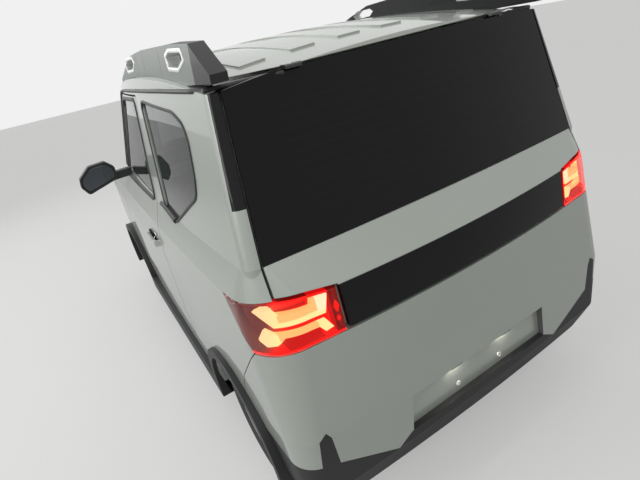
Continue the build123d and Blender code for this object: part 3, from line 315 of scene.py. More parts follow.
# Underbody: floor pan, bulkhead, rails and strut towers of dipped and sprayed steel,
# with patches of road dust.
DIP_COLOUR = (0.035, 0.037, 0.038, 1)
DUST_COLOUR = (0.13, 0.12, 0.10, 1)
dip = Finish("dipped_steel")
dust = dip.noise(7, 6.0, 0.65)
stone_guard = dip.noise(260, 2.0)
dip_material = dip.surface(
    Base_Color=dip.blend(dust * 0.35, DIP_COLOUR, DUST_COLOUR),
    Roughness=0.55 + 0.25 * dust,
    Normal=dip.bump(stone_guard, 0.35, 0.0008, 0.002),
)
dress(dip_material, "floor_pan", "front_structure")
steel = Finish("chassis_steel")
mill = steel.noise(30, 5.0, 0.6)
steel_material = steel.surface(
    Base_Color=steel.blend(mill * 0.4, (0.05, 0.05, 0.053, 1), (0.16, 0.12, 0.09, 1)),
    Metallic=0.6,
    Roughness=0.45 + 0.3 * mill,
    Normal=steel.bump(mill, 0.2, 0.0006, 0.0015),
)
dress(steel_material, "front_suspension", "rear_axle", "knuckle_left", "knuckle_right")
case = Finish("battery_case")
casting = case.noise(60, 4.0)
case_material = case.surface(
    Base_Color=case.blend(casting, (0.36, 0.37, 0.38, 1), (0.44, 0.45, 0.46, 1)),
    Metallic=0.9,
    Roughness=0.4 + 0.2 * casting,
    Normal=case.bump(casting, 0.15, 0.0005, 0.002),
)
dress(case_material, "battery_pack")

# Roof rails: moulded plastic, bolted down through the roof. The outer face is painted grey with
# shallow panel lines, the top and the inner face are black, and each hole has a pale bezel.
RAIL_LINE_LOW = (0.612, 1.500)
RAIL_LINE_MID = (0.604, 1.580)
RAIL_LINE_HIGH = (0.588, 1.700)
RAIL_GREY = (0.190, 0.208, 0.195, 1)
RAIL_BLACK = (0.012, 0.012, 0.013, 1)
RAIL_BLACK_FROM_X = -1.205
RAIL_SKIN = 0.0012
RAIL_SEAMS = ((-0.640, 0.0025), (-0.520, 0.0025), (-0.880, 0.0020))
rail_finish = Finish("rail_plastic")
rail_x, rail_y, rail_z = rail_finish.axes()
low_lean = (RAIL_LINE_MID[0] - RAIL_LINE_LOW[0]) / (RAIL_LINE_MID[1] - RAIL_LINE_LOW[1])
high_lean = (RAIL_LINE_HIGH[0] - RAIL_LINE_MID[0]) / (RAIL_LINE_HIGH[1] - RAIL_LINE_MID[1])
low_face = RAIL_LINE_LOW[0] + (rail_z - RAIL_LINE_LOW[1]) * low_lean
high_face = RAIL_LINE_MID[0] + (rail_z - RAIL_LINE_MID[1]) * high_lean
outer_face = low_face.at_most(high_face)
on_outer = (abs(rail_y) > outer_face - RAIL_SKIN) * (rail_x > RAIL_BLACK_FROM_X)
seams = 0.0
for x, half in RAIL_SEAMS:
    seams = (abs(rail_x - x) < half) + seams
rail_grain = rail_finish.noise(420, 2.0)
rail_shade = rail_finish.blend(rail_finish.noise(5, 2.0), (0.170, 0.188, 0.176, 1), RAIL_GREY)
rail_lined = rail_finish.blend(seams * 0.85, rail_shade, RAIL_BLACK)
rail_material = rail_finish.surface(
    Base_Color=rail_finish.blend(on_outer, RAIL_BLACK, rail_lined),
    Roughness=0.30 + 0.25 * rail_grain,
    IOR=1.38,
    Normal=rail_finish.bump(rail_grain, 0.12, 0.0003, 0.0025),
)
dress(rail_material, "roof_rails")


def pick(piece):
    """Selects one piece alone and makes it the active one."""
    bpy.ops.object.select_all(action="DESELECT")
    piece.select_set(True)
    bpy.context.view_layer.objects.active = piece


def edit_all():
    """Opens the active piece for editing, with all of it selected."""
    bpy.ops.object.mode_set(mode="EDIT")
    bpy.ops.mesh.select_all(action="SELECT")


def wire(name, points, closed=False):
    """A chain of edges through the points, made by extruding one vertex."""
    bpy.ops.object.select_all(action="DESELECT")
    bpy.ops.mesh.primitive_plane_add(size=0.001, location=points[0])
    piece = bpy.context.object
    piece.name = name
    bpy.ops.object.transform_apply(location=True, rotation=True, scale=True)
    bpy.ops.object.mode_set(mode="EDIT")
    bpy.ops.mesh.select_mode(type="VERT")
    bpy.ops.mesh.select_all(action="SELECT")
    bpy.ops.mesh.merge(type="CENTER")
    ends = list(points[1:]) + ([points[0]] if closed else [])
    place = Vector(points[0])
    for end in ends:
        bpy.ops.mesh.extrude_region_move(TRANSFORM_OT_translate={"value": Vector(end) - place})
        place = Vector(end)
    if closed:
        bpy.ops.mesh.select_all(action="SELECT")
        bpy.ops.mesh.remove_doubles(threshold=0.00001)
    bpy.ops.object.mode_set(mode="OBJECT")
    return piece


def join(name, pieces):
    """One mesh of several pieces."""
    bpy.ops.object.select_all(action="DESELECT")
    for piece in pieces:
        piece.select_set(True)
    bpy.context.view_layer.objects.active = pieces[0]
    bpy.ops.object.join()
    pieces[0].name = name
    pieces[0].data.name = name
    return pieces[0]


def settle(piece, merge=0.00002, angle=35):
    """Merges what touches, turns the faces outwards and smooths up to an angle."""
    pick(piece)
    edit_all()
    bpy.ops.mesh.remove_doubles(threshold=merge)
    bpy.ops.mesh.normals_make_consistent(inside=False)
    bpy.ops.object.mode_set(mode="OBJECT")
    bpy.ops.object.shade_smooth_by_angle(angle=math.radians(angle))
    return piece


def apply(piece, kind, **settings):
    """Adds a modifier with its settings and applies it."""
    pick(piece)
    modifier = piece.modifiers.new(kind.lower(), kind)
    for key, value in settings.items():
        setattr(modifier, key, value)
    bpy.ops.object.modifier_apply(modifier=modifier.name)
    return piece


def eased(piece, width, segments=2, angle=50):
    """Rounds the edges that turn by more than an angle."""
    return apply(piece, "BEVEL", width=width, segments=segments, angle_limit=math.radians(angle))


def finished(piece, material, body):
    """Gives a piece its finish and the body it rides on."""
    piece.data.materials.clear()
    piece.data.materials.append(material)
    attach(piece, body)


def copied(piece, name):
    """A copy with a mesh of its own."""
    copy = piece.copy()
    copy.data = piece.data.copy()
    copy.name = name
    copy.data.name = name
    bpy.context.collection.objects.link(copy)
    return copy


def mirrored(piece, name):
    """A copy on the car's other side."""
    copy = copied(piece, name)
    for vertex in copy.data.vertices:
        vertex.co.y = -vertex.co.y
    copy.data.flip_normals()
    return copy


def finished_pair(piece, material, body):
    """Finishes a piece on the left, and its mirrored copy on the right."""
    finished(piece, material, body)
    twin = mirrored(piece, piece.name.replace("_left", "_right"))
    finished(twin, material, body.replace("_left", "_right"))
    return piece, twin


def grown(outline, distance):
    """An outline moved outwards by a distance, with mitred corners."""
    area = sum(a[0] * b[1] - b[0] * a[1] for a, b in zip(outline, outline[1:] + outline[:1]))
    turn = 1 if area > 0 else -1
    moved = []
    for before, corner, after in zip(outline[-1:] + outline[:-1], outline, outline[1:] + outline[:1]):
        first = (Vector(corner) - Vector(before)).normalized()
        second = (Vector(after) - Vector(corner)).normalized()
        outward = Vector((first.y + second.y, -first.x - second.x)) * turn
        moved.append(tuple(Vector(corner) + outward * distance / (1 + first.dot(second))))
    return moved


def divided(line, step):
    """A line with points added so that they stand about a step apart."""
    points = []
    for start, end in zip(line, line[1:]):
        parts = max(1, round((Vector(end) - Vector(start)).length / step))
        points += [tuple(Vector(start).lerp(Vector(end), i / parts)) for i in range(parts)]
    return points + [line[-1]]


def rounded(outline, radius, steps=4):
    """An outline whose corners are cut to short curves."""
    points = []
    for before, corner, after in zip(outline[-1:] + outline[:-1], outline, outline[1:] + outline[:1]):
        middle = Vector(corner)
        first = Vector(before) - middle
        second = Vector(after) - middle
        reach = min(radius, first.length * 0.45, second.length * 0.45)
        start = middle + first.normalized() * reach
        end = middle + second.normalized() * reach
        for i in range(steps + 1):
            t = i / steps
            points.append(tuple(start * (1 - t) ** 2 + middle * 2 * t * (1 - t) + end * t ** 2))
    return points


def band_between(name, inner, outer):
    """A flat band between two loops of as many points."""
    loops = join(name, [wire(name, inner, True), wire(name + "_rim", outer, True)])
    bpy.ops.object.mode_set(mode="EDIT")
    bpy.ops.mesh.select_mode(type="EDGE")
    bpy.ops.mesh.select_all(action="SELECT")
    bpy.ops.mesh.bridge_edge_loops()
    bpy.ops.object.mode_set(mode="OBJECT")
    return loops


BEZEL_WIDTH = 0.011
BEZEL_DEPTH = 0.004
BEZEL_EDGE = 0.001
BEZEL_SINK = 0.0005
RAIL_HOLE_CORNER = 0.006
BEZEL_CORNER = 0.008
HOLE_LINING_DEPTH = 0.040
HOLE_LINING_THICK = 0.0012
RAIL_HOLE_REAR = [
    (-0.971, 1.606), (-1.007, 1.616), (-1.127, 1.609), (-1.136, 1.591), (-1.079, 1.573),
    (-0.981, 1.579),
]
RAIL_HOLE_FRONT = [
    (-0.292, 1.611), (-0.332, 1.628), (-0.440, 1.629), (-0.462, 1.614), (-0.430, 1.595),
    (-0.305, 1.593),
]
silver = Finish("satin_silver")
brushed = silver.noise(120, 4.0, 0.6)
silver_material = silver.surface(
    Base_Color=silver.blend(brushed, (0.58, 0.59, 0.58, 1), (0.68, 0.69, 0.68, 1)),
    Metallic=0.55,
    Roughness=0.28 + 0.16 * brushed,
    Normal=silver.bump(brushed, 0.06, 0.0002, 0.001),
)


def rail_face_y(z):
    """Where the rail's outer face stands at a height."""
    low = RAIL_LINE_LOW[0] + (z - RAIL_LINE_LOW[1]) * low_lean
    high = RAIL_LINE_MID[0] + (z - RAIL_LINE_MID[1]) * high_lean
    return min(low, high)


for end, hole in (("rear", RAIL_HOLE_REAR), ("front", RAIL_HOLE_FRONT)):
    inner = rounded(hole, RAIL_HOLE_CORNER)
    outer = rounded(grown(hole, BEZEL_WIDTH), BEZEL_CORNER)
    inner_front = [(x, rail_face_y(z) - BEZEL_SINK, z) for x, z in inner]
    outer_front = [(x, rail_face_y(z) - BEZEL_SINK, z) for x, z in outer]
    inner_back = [(x, rail_face_y(z) - HOLE_LINING_DEPTH, z) for x, z in inner]
    bezel = settle(band_between(f"rail_bezel_{end}_left", inner_front, outer_front))
    apply(bezel, "SOLIDIFY", thickness=BEZEL_DEPTH, offset=0)
    settle(eased(bezel, BEZEL_EDGE))
    finished_pair(bezel, silver_material, "root")
    lining = settle(band_between(f"rail_hole_lining_{end}_left", inner_front, inner_back))
    settle(apply(lining, "SOLIDIFY", thickness=HOLE_LINING_THICK, offset=0))
    finished_pair(lining, silver_material, "root")

# Drip moulding: a black rubber strip pressed over the welded flange where each body side meets
# the roof. It runs from the tailgate forward under the rail and down beside the windscreen.
DRIP_LINE = [
    (-1.298, 1.5125), (-1.200, 1.515), (-0.900, 1.519), (-0.500, 1.520), (-0.100, 1.517),
    (0.100, 1.510), (0.150, 1.496), (0.240, 1.396), (0.400, 1.220), (0.510, 1.100),
]
DRIP_RADIUS = 0.0068
DRIP_STEP = 0.03
SIDE_CAST_FROM = 1.2
SIDE_SEARCH_RINGS = (0.006, 0.012, 0.024, 0.048)
SIDE_SEARCH_WAYS = 8
DRIP_NODES = ("body_side_left", "roof_panel", "cowl_panel", "front_fenders", "quarter_glass")
rubber = Finish("black_rubber")
rubber_bloom = rubber.noise(40, 4.0, 0.6)
rubber_pores = rubber.noise(700, 2.0)
rubber_material = rubber.surface(
    Base_Color=rubber.blend(rubber_bloom, (0.010, 0.010, 0.011, 1), (0.022, 0.022, 0.023, 1)),
    Roughness=0.42 + 0.2 * rubber_bloom,
    Normal=rubber.bump(rubber_pores, 0.2, 0.0002, 0.0008),
)


def side_cast(x, z, names):
    """How far out the outermost of some left side nodes stands at a place in side view."""
    start = Vector((x, SIDE_CAST_FROM, z))
    hits = [nodes[name].ray_cast(start, Vector((0, -1, 0))) for name in names]
    reached = [place.y for hit, place, _, _ in hits if hit]
    return max(reached) if reached else None


def side_point(x, z, names, lift):
    """A point laid on left side nodes, or level with what stands round it where they have a gap."""
    found = side_cast(x, z, names)
    for reach in SIDE_SEARCH_RINGS:
        if found is not None:
            break
        turns = [math.radians(360 / SIDE_SEARCH_WAYS * i) for i in range(SIDE_SEARCH_WAYS)]
        around = [side_cast(x + reach * math.cos(t), z + reach * math.sin(t), names) for t in turns]
        around = [y for y in around if y is not None]
        found = sum(around) / len(around) if around else None
    return Vector((x, found + lift, z))


def laid_line(line, names, lift, step):
    """Points along a line in side view, laid on the left side."""
    return [side_point(x, z, names, lift) for x, z in divided(line, step)]


def bead(name, points, radius):
    """A round bead along points."""
    piece = wire(name, points)
    pick(piece)
    bpy.ops.object.convert(target="CURVE")
    piece.data.bevel_depth = radius
    piece.data.bevel_resolution = 2
    piece.data.use_fill_caps = True
    bpy.ops.object.convert(target="MESH")
    return settle(bpy.context.object)


drip = bead("drip_moulding_left", laid_line(DRIP_LINE, DRIP_NODES, 0.0, DRIP_STEP), DRIP_RADIUS)
finished_pair(drip, rubber_material, "root")

# Front panel between the headlamps, rear strip between the tail lamps and the garnishes behind the
# side windows: moulded plastic, lacquered gloss black.
lacquer = Finish("gloss_black")
lacquer_peel = lacquer.noise(55, 2.0)
lacquer_dust = lacquer.noise(900, 3.0, 0.7)
lacquer_material = lacquer.surface(
    Base_Color=lacquer.blend(lacquer_dust, (0.004, 0.004, 0.0045, 1), (0.010, 0.010, 0.011, 1)),
    Roughness=0.05 + 0.07 * lacquer_dust,
    IOR=1.3,
    Normal=lacquer.bump(lacquer_peel, 0.03, 0.0005, 0.0015),
)
dress(lacquer_material, "front_panel", "tailgate_strip", "pillar_garnishes")

# Side windows and windscreen: toughened side glass held in its seals, and a bonded, laminated
# windscreen with a black fired edge. All of it has a faint grey green tint.
GLASS_TINT = (0.34, 0.37, 0.36, 1)
GLASS_TINT_LIGHT = (0.62, 0.67, 0.65, 1)
glass = Finish("tinted_glass")
glass_film = glass.noise(9, 3.0)
glass_material = glass.surface(
    Base_Color=glass.blend(glass_film, GLASS_TINT, (0.30, 0.33, 0.32, 1)),
    Roughness=0.01 + 0.02 * glass_film,
    IOR=1.5,
    Transmission_Weight=0.96,
)
dress(glass_material, "quarter_glass", "door_glass_left", "door_glass_right")
SCREEN_FRIT_TOP = 1.470
SCREEN_FRIT_FOOT = 1.105
SCREEN_FRIT_SLOPE = 0.125
SCREEN_FRIT_HALF = 0.548
screen = Finish("windscreen_glass")
_, screen_y, screen_z = screen.axes()
screen_edge = SCREEN_FRIT_HALF - (screen_z - SCREEN_FRIT_FOOT) * SCREEN_FRIT_SLOPE
frit = (screen_z > SCREEN_FRIT_TOP) + (screen_z < SCREEN_FRIT_FOOT)
frit = frit.at_least(abs(screen_y) > screen_edge)
screen_film = screen.noise(9, 3.0)
screen_clear = screen.surface(
    Base_Color=screen.blend(screen_film, GLASS_TINT_LIGHT, (0.58, 0.63, 0.61, 1)),
    Roughness=0.01 + 0.015 * screen_film,
    IOR=1.5,
    Transmission_Weight=0.97,
)
frit_shader = screen.node(
    "ShaderNodeBsdfPrincipled", {}, {"Base Color": (0.004, 0.004, 0.004, 1), "Roughness": 0.08}
)["BSDF"]
screen.overlaid(frit, frit_shader)
dress(screen_clear, "windscreen")

# Tailgate glass: one curved pane over the whole upper tailgate, nearly black, with fine heating
# wires fired on between its fired black borders.
rear_glass = Finish("black_glass")
_, rear_y, rear_z = rear_glass.axes()
HEATING_PITCH = 0.030
HEATING_HALF = 0.0006
HEATING_SPAN = 0.46
HEATING_REACH = (1.16, 1.45)
heating = (rear_z.zigzag(HEATING_PITCH / 2) < HEATING_HALF) * (abs(rear_y) < HEATING_SPAN)
heating = heating * rear_z.within(*HEATING_REACH)
rear_haze = rear_glass.noise(6, 3.0)
rear_glass_material = rear_glass.surface(
    Base_Color=rear_glass.blend(heating * 0.5, (0.0045, 0.0045, 0.005, 1), (0.022, 0.016, 0.012, 1)),
    Roughness=0.015 + 0.03 * rear_haze,
    IOR=1.25,
    Normal=rear_glass.bump(rear_glass.noise(2.5, 1.0), 0.02, 0.004),
)
dress(rear_glass_material, "tailgate_glass")

# Window seals: extruded rubber round each side window, pushed onto the edge of the opening. A short
# rubber strip closes the gap at the foot of each quarter window.
DOOR_WINDOW = [(0.452, 1.092), (0.082, 1.472), (-0.395, 1.478), (-0.412, 1.092)]
QUARTER_WINDOW = [
    (-0.563, 1.480), (-0.989, 1.456), (-1.072, 1.426), (-1.100, 1.385), (-1.105, 1.279),
    (-1.089, 1.224), (-0.776, 1.075), (-0.629, 1.095),
]
SEAL_STEP = 0.02
SEAL_EDGE_SHARE = 0.3


def side_band(name, outline, inner_grow, outer_grow, names, lift, thickness):
    """A closed band round a left side window, laid on what carries it and given its thickness."""
    near = [Vector(corner) for corner in grown(outline, inner_grow)]
    far = [Vector(corner) for corner in grown(outline, outer_grow)]
    inner, outer = [], []
    for i, start in enumerate(near):
        end = near[(i + 1) % len(near)]
        far_end = far[(i + 1) % len(far)]
        parts = max(1, round((end - start).length / SEAL_STEP))
        inner += [start.lerp(end, k / parts) for k in range(parts)]
        outer += [far[i].lerp(far_end, k / parts) for k in range(parts)]
    loops = [[side_point(x, z, names, lift) for x, z in loop] for loop in (inner, outer)]
    band = settle(band_between(name, *loops))
    apply(band, "SOLIDIFY", thickness=thickness, offset=0)
    return settle(eased(band, thickness * SEAL_EDGE_SHARE), angle=50)


WINDOW_CORNER = 0.03
DOOR_SEAL_WIDTH = 0.017
QUARTER_SEAL_WIDTH = 0.010
SEAL_INSET = 0.0006
SEAL_THICKNESS = 0.005
SEAL_LIFT = 0.0012
door_side = ("door_panel_left", "body_side_left", "front_fenders", "cowl_panel")
quarter_side = ("body_side_left", "door_panel_left", "pillar_garnishes")
door_seal = side_band(
    "door_window_seal_left",
    rounded(DOOR_WINDOW, WINDOW_CORNER),
    SEAL_INSET,
    DOOR_SEAL_WIDTH,
    door_side,
    SEAL_LIFT,
    SEAL_THICKNESS,
)
finished_pair(door_seal, rubber_material, "door_left")
quarter_seal = side_band(
    "quarter_window_seal_left",
    rounded(QUARTER_WINDOW, WINDOW_CORNER),
    SEAL_INSET,
    QUARTER_SEAL_WIDTH,
    quarter_side,
    SEAL_LIFT,
    SEAL_THICKNESS,
)
finished_pair(quarter_seal, rubber_material, "root")
FOOT_STRIP_LINE = [(-0.560, 1.096), (-0.629, 1.094), (-0.774, 1.074)]
FOOT_STRIP_RADIUS = 0.010
FOOT_STRIP_LIFT = 0.001
foot_points = laid_line(FOOT_STRIP_LINE, ("body_side_left", "quarter_glass"), FOOT_STRIP_LIFT, SEAL_STEP)
foot_strip = bead("quarter_foot_strip_left", foot_points, FOOT_STRIP_RADIUS)
finished_pair(foot_strip, rubber_material, "root")

# Tail lamps: a clear outer lens over a dark red lit case, with a hook and a bar that glow on the
# case's floor. The lens is clear and faintly pink round the corner.
LENS_RED_FROM_X = -1.430
LENS_BLEND = 0.030
LENS_INNER_END_Y = 0.511
LENS_EDGE_LOW_Z = 0.8555
LENS_EDGE_TOP_Z = 0.9810
LENS_DIAMONDS = ((0.4975, 0.928, 2.2, 0.020), (0.4990, 0.892, 1.6, 0.011))
lens = Finish("tail_lens")
lens_x, lens_y, lens_z = lens.axes()
lens_rear = lens.fading(lens_x, LENS_RED_FROM_X - LENS_BLEND, LENS_RED_FROM_X)
lens_wave = lens.noise(14, 2.0)
lens_outer = abs(lens_y) > LENS_INNER_END_Y
lens_edges = (lens_z < LENS_EDGE_LOW_Z) + (lens_z > LENS_EDGE_TOP_Z) * lens_outer * lens_rear
diamonds = 0.0
for y, z, slimness, reach in LENS_DIAMONDS:
    diamonds = (abs(abs(lens_y) - y) * slimness + abs(lens_z - z) < reach) + diamonds
lens_glow = lens.blend(lens_rear * lens_outer, (0.020, 0.002, 0.002, 1), (0.30, 0.002, 0.002, 1))
lens_lit = (lens_edges * 0.8 + diamonds * 0.7).at_most(1.0)
lens_material = lens.surface(
    Base_Color=lens.blend(lens_rear, (0.92, 0.62, 0.60, 1), (1.0, 0.70, 0.58, 1)),
    Roughness=0.01 + 0.03 * lens_wave,
    IOR=1.22,
    Transmission_Weight=1.0,
    Emission_Color=lens.blend(lens_lit, lens_glow, (0.95, 0.006, 0.004, 1)),
    Emission_Strength=0.7,
)
dress(lens_material, "tail_lamps")

# Lamp cases: moulded pockets behind the lenses. The floor of the tail lamps' case is lit red,
# darker below the bar and above the hook; the headlamps' case stays black.
CASE_RED_X = (-1.455, -1.395)
CASE_LOW_Z = 0.884
CASE_LOW_Y = (0.545, 0.650)
CASE_HIGH_Z = 0.952
CASE_HIGH_Y = (0.565, 0.640)
case_plastic = Finish("lamp_case")
case_x, case_y, case_z = case_plastic.axes()
tail_side = case_plastic.fading(case_x, *CASE_RED_X)
tail_case = case_x < 0
below_bar = (case_z < CASE_LOW_Z) * abs(case_y).within(*CASE_LOW_Y)
above_hook = (case_z > CASE_HIGH_Z) * abs(case_y).within(*CASE_HIGH_Y)
inner_end = abs(case_y) < LENS_INNER_END_Y
quiet = (below_bar + above_hook).at_least(inner_end)
case_red = case_plastic.blend(quiet * 0.86, (0.62, 0.003, 0.003, 1), (0.03, 0.001, 0.001, 1))
case_side = case_plastic.blend(tail_case, (0.012, 0.012, 0.013, 1), (0.20, 0.12, 0.12, 1))
case_material = case_plastic.surface(
    Base_Color=case_plastic.blend(tail_side, case_side, (0.10, 0.003, 0.003, 1)),
    Roughness=0.50 + 0.2 * case_plastic.noise(60, 2.0),
    IOR=1.2,
    Emission_Color=case_plastic.blend(tail_side, (0, 0, 0, 1), case_red),
    Emission_Strength=1.0,
)
dress(case_material, "lamp_cases")

# Light guides: clear plastic bars with frosted faces, lit from their ends. The tail lamps' are cream
# in three steps of brightness, and the headlamps' are cold and unlit, beside two projector lenses.
GUIDE_ARM_Z = (0.931, 0.9525)
GUIDE_ARM_Y = (0.545, 0.650)
GUIDE_STEP_Z = 0.950
GUIDE_STEP_Y = (0.545, 0.562)
GUIDE_BAR_Z = (0.878, 0.898)
GUIDE_BAR_Y = (0.552, 0.660)
GUIDE_TOP_Z = 0.925
GUIDE_TOP_Y = 0.546
guide = Finish("light_guide")
guide_x, guide_y, guide_z = guide.axes()
guide_rear = guide_x < 0
out_y = abs(guide_y)
arm_dim = guide_z.within(*GUIDE_ARM_Z) * out_y.within(*GUIDE_ARM_Y)
step_dim = (guide_z > GUIDE_STEP_Z) * out_y.within(*GUIDE_STEP_Y)
bar_dim = guide_z.within(*GUIDE_BAR_Z) * out_y.within(*GUIDE_BAR_Y)
top_arm = (guide_z > GUIDE_TOP_Z) * (out_y < GUIDE_TOP_Y)
dimmed = (arm_dim + step_dim).at_least(bar_dim)
frost = guide.noise(240, 2.0)
bright_or_top = guide.blend(top_arm, (1.0, 0.94, 0.46, 1), (1.0, 1.0, 0.76, 1))
lit = guide.blend(dimmed, bright_or_top, (0.78, 0.56, 0.21, 1))
guide_material = guide.surface(
    Base_Color=guide.blend(guide_rear, (0.62, 0.65, 0.68, 1), (0.30, 0.22, 0.14, 1)),
    Roughness=0.12 + 0.15 * frost,
    Coat_Weight=0.5,
    Emission_Color=guide.blend(guide_rear, (0.0, 0.0, 0.0, 1), lit),
    Emission_Strength=1.2,
)
dress(guide_material, "lamp_guides")
clear_lens = Finish("clear_lens")
clear_wave = clear_lens.noise(10, 2.0)
clear_lens_material = clear_lens.surface(
    Base_Color=clear_lens.blend(clear_wave, (0.93, 0.95, 0.96, 1), (0.96, 0.97, 0.97, 1)),
    Roughness=0.01 + 0.02 * clear_wave,
    IOR=1.3,
    Transmission_Weight=0.97,
)
dress(clear_lens_material, "headlamps")

# Moulded black plastics: sill and arch cladding, valances, cowl, wheel housings and mirrors, left
# with the fine grain of the mould.
grained = Finish("grained_black")
grain_cells = grained.cells(520)
grain_wear = grained.noise(6, 5.0, 0.6)
grained_material = grained.surface(
    Base_Color=grained.blend(grain_wear, (0.016, 0.016, 0.017, 1), (0.034, 0.034, 0.035, 1)),
    Roughness=0.42 + 0.22 * grain_wear,
    IOR=1.38,
    Normal=grained.bump(grain_cells, 0.25, 0.0003, 0.0025),
)
dress(grained_material, "side_cladding", "lower_valances", "cowl_panel", "wheel_housings")
dress(grained_material, "mirror_left", "mirror_right")

# Plate recess: two nylon grommets for the plate's screws, as on the front bumper, and two small
# plate lamps hung from the recess's upper edge, each a black case with a lit lens.
PLATE_SCREW_Y = 0.105
PLATE_SCREWS = {"plate": (-1.502, 0.400, -1), "front": (1.516, 0.595, 1)}
SIDES = {"left": 1, "right": -1}
GROMMET_PROFILE = [
    (0.0000, 0.0036), (0.0000, 0.0100), (0.0030, 0.0098), (0.0046, 0.0080), (0.0046, 0.0062),
    (0.0028, 0.0048), (0.0008, 0.0040),
]


def turned(name, profile, centre, axis, steps=32, closed=True):
    """A turned part: a profile of places along and out from an axis, spun round it."""
    along = Vector(axis).normalized()
    out = Vector((0, 0, 1)) if abs(along.z) < 0.9 else Vector((1, 0, 0))
    points = [Vector(centre) + along * reach + out * radius for reach, radius in profile]
    piece = wire(name, points, closed)
    edit_all()
    bpy.ops.mesh.spin(steps=steps, angle=math.radians(360), center=centre, axis=along)
    bpy.ops.object.mode_set(mode="OBJECT")
    return settle(piece)


nylon = Finish("white_nylon")
nylon_mark = nylon.noise(300, 3.0)
nylon_material = nylon.surface(
    Base_Color=nylon.blend(nylon_mark, (0.62, 0.61, 0.57, 1), (0.76, 0.75, 0.71, 1)),
    Roughness=0.35 + 0.2 * nylon_mark,
    Normal=nylon.bump(nylon_mark, 0.1, 0.0002, 0.0006),
)
for plate, (x, z, way) in PLATE_SCREWS.items():
    for side, sign in SIDES.items():
        place = (x, sign * PLATE_SCREW_Y, z)
        grommet = turned(f"{plate}_grommet_{side}", GROMMET_PROFILE, place, (way, 0, 0))
        finished(grommet, nylon_material, "root")


def box(name, middle, size):
    """A plain box of a size about a middle."""
    bpy.ops.object.select_all(action="DESELECT")
    bpy.ops.mesh.primitive_cube_add(size=1, location=middle)
    piece = bpy.context.object
    piece.name = name
    piece.scale = size
    bpy.ops.object.transform_apply(location=True, rotation=True, scale=True)
    return piece


def rounded_block(name, low, high, radius, segments=3):
    """A box between two corners with its edges rounded."""
    piece = box(name, (Vector(low) + Vector(high)) / 2, Vector(high) - Vector(low))
    edit_all()
    bpy.ops.mesh.bevel(offset=radius, segments=segments, affect="EDGES")
    bpy.ops.object.mode_set(mode="OBJECT")
    return settle(piece)


PLATE_LAMP_Y = 0.122
PLATE_LAMP_HALF = 0.026
PLATE_LAMP_X = (-1.525, -1.505)
PLATE_LAMP_Z = (0.4985, 0.5085)
PLATE_LAMP_EDGE = 0.003
PLATE_LENS_INSET = 0.007
PLATE_LENS_X = (0.006, -0.003)
PLATE_LENS_Z = (-0.0022, 0.003)
PLATE_LENS_EDGE = 0.0015
plate_light = Finish("plate_lamp_lens")
plate_light_flute = plate_light.noise(500, 1.0)
plate_light_material = plate_light.surface(
    Base_Color=plate_light.blend(plate_light_flute, (0.85, 0.83, 0.78, 1), (0.95, 0.93, 0.88, 1)),
    Roughness=0.2 + 0.2 * plate_light_flute,
    Emission_Color=plate_light.blend(plate_light_flute, (1.0, 0.93, 0.78, 1), (1.0, 0.96, 0.84, 1)),
    Emission_Strength=60,
)
for side, sign in SIDES.items():
    low_y = sign * PLATE_LAMP_Y - PLATE_LAMP_HALF
    high_y = sign * PLATE_LAMP_Y + PLATE_LAMP_HALF
    lamp_case = rounded_block(
        f"plate_lamp_case_{side}",
        (PLATE_LAMP_X[0], low_y, PLATE_LAMP_Z[0]),
        (PLATE_LAMP_X[1], high_y, PLATE_LAMP_Z[1]),
        PLATE_LAMP_EDGE,
    )
    finished(lamp_case, grained_material, "root")
    lamp_lens = rounded_block(
        f"plate_lamp_lens_{side}",
        (PLATE_LAMP_X[0] + PLATE_LENS_X[0], low_y + PLATE_LENS_INSET, PLATE_LAMP_Z[0] + PLATE_LENS_Z[0]),
        (PLATE_LAMP_X[1] + PLATE_LENS_X[1], high_y - PLATE_LENS_INSET, PLATE_LAMP_Z[0] + PLATE_LENS_Z[1]),
        PLATE_LENS_EDGE,
    )
    finished(lamp_lens, plate_light_material, "root")

# Door handles: a black finger cup sits in the pocket behind each grip, with a thin bright lip round
# the pocket's mouth. The key cylinder is in the grip on the driver's side.
HANDLE_POCKET = [(-0.345, 0.857), (-0.235, 0.857), (-0.235, 0.913), (-0.345, 0.913)]
HANDLE_CORNER = 0.004
LIP_INSET = 0.0004
LIP_WIDTH = 0.0042
LIP_LIFT = 0.0006
LIP_THICKNESS = 0.0026
CUP_CLEARANCE = 0.0006
CUP_WALL = 0.0010
CUP_FLOOR_Y = 0.7275
CUP_MOUTH_Y = 0.7500
chrome = Finish("bright_chrome")
chrome_haze = chrome.noise(60, 3.0)
chrome_material = chrome.surface(
    Base_Color=chrome.blend(chrome_haze, (0.70, 0.71, 0.72, 1), (0.78, 0.79, 0.80, 1)),
    Metallic=1.0,
    Roughness=0.08 + 0.10 * chrome_haze,
)
cup_plastic = Finish("handle_cup_plastic")
cup_grain = cup_plastic.noise(300, 2.0)
cup_material = cup_plastic.surface(
    Base_Color=cup_plastic.blend(cup_grain, (0.004, 0.004, 0.004, 1), (0.009, 0.009, 0.009, 1)),
    Roughness=0.55 + 0.2 * cup_grain,
    IOR=1.25,
)
pocket = rounded(HANDLE_POCKET, HANDLE_CORNER)
lip_side = ("door_panel_left",)
handle_lip = side_band("handle_lip_left", pocket, LIP_INSET, LIP_WIDTH, lip_side, LIP_LIFT, LIP_THICKNESS)
finished_pair(handle_lip, chrome_material, "door_left")
cup_outline = rounded(grown(HANDLE_POCKET, -CUP_CLEARANCE), HANDLE_CORNER)
cup = wire("handle_cup_left", [(x, CUP_MOUTH_Y, z) for x, z in cup_outline], True)
edit_all()
bpy.ops.mesh.extrude_region_move(TRANSFORM_OT_translate={"value": (0, CUP_FLOOR_Y - CUP_MOUTH_Y, 0)})
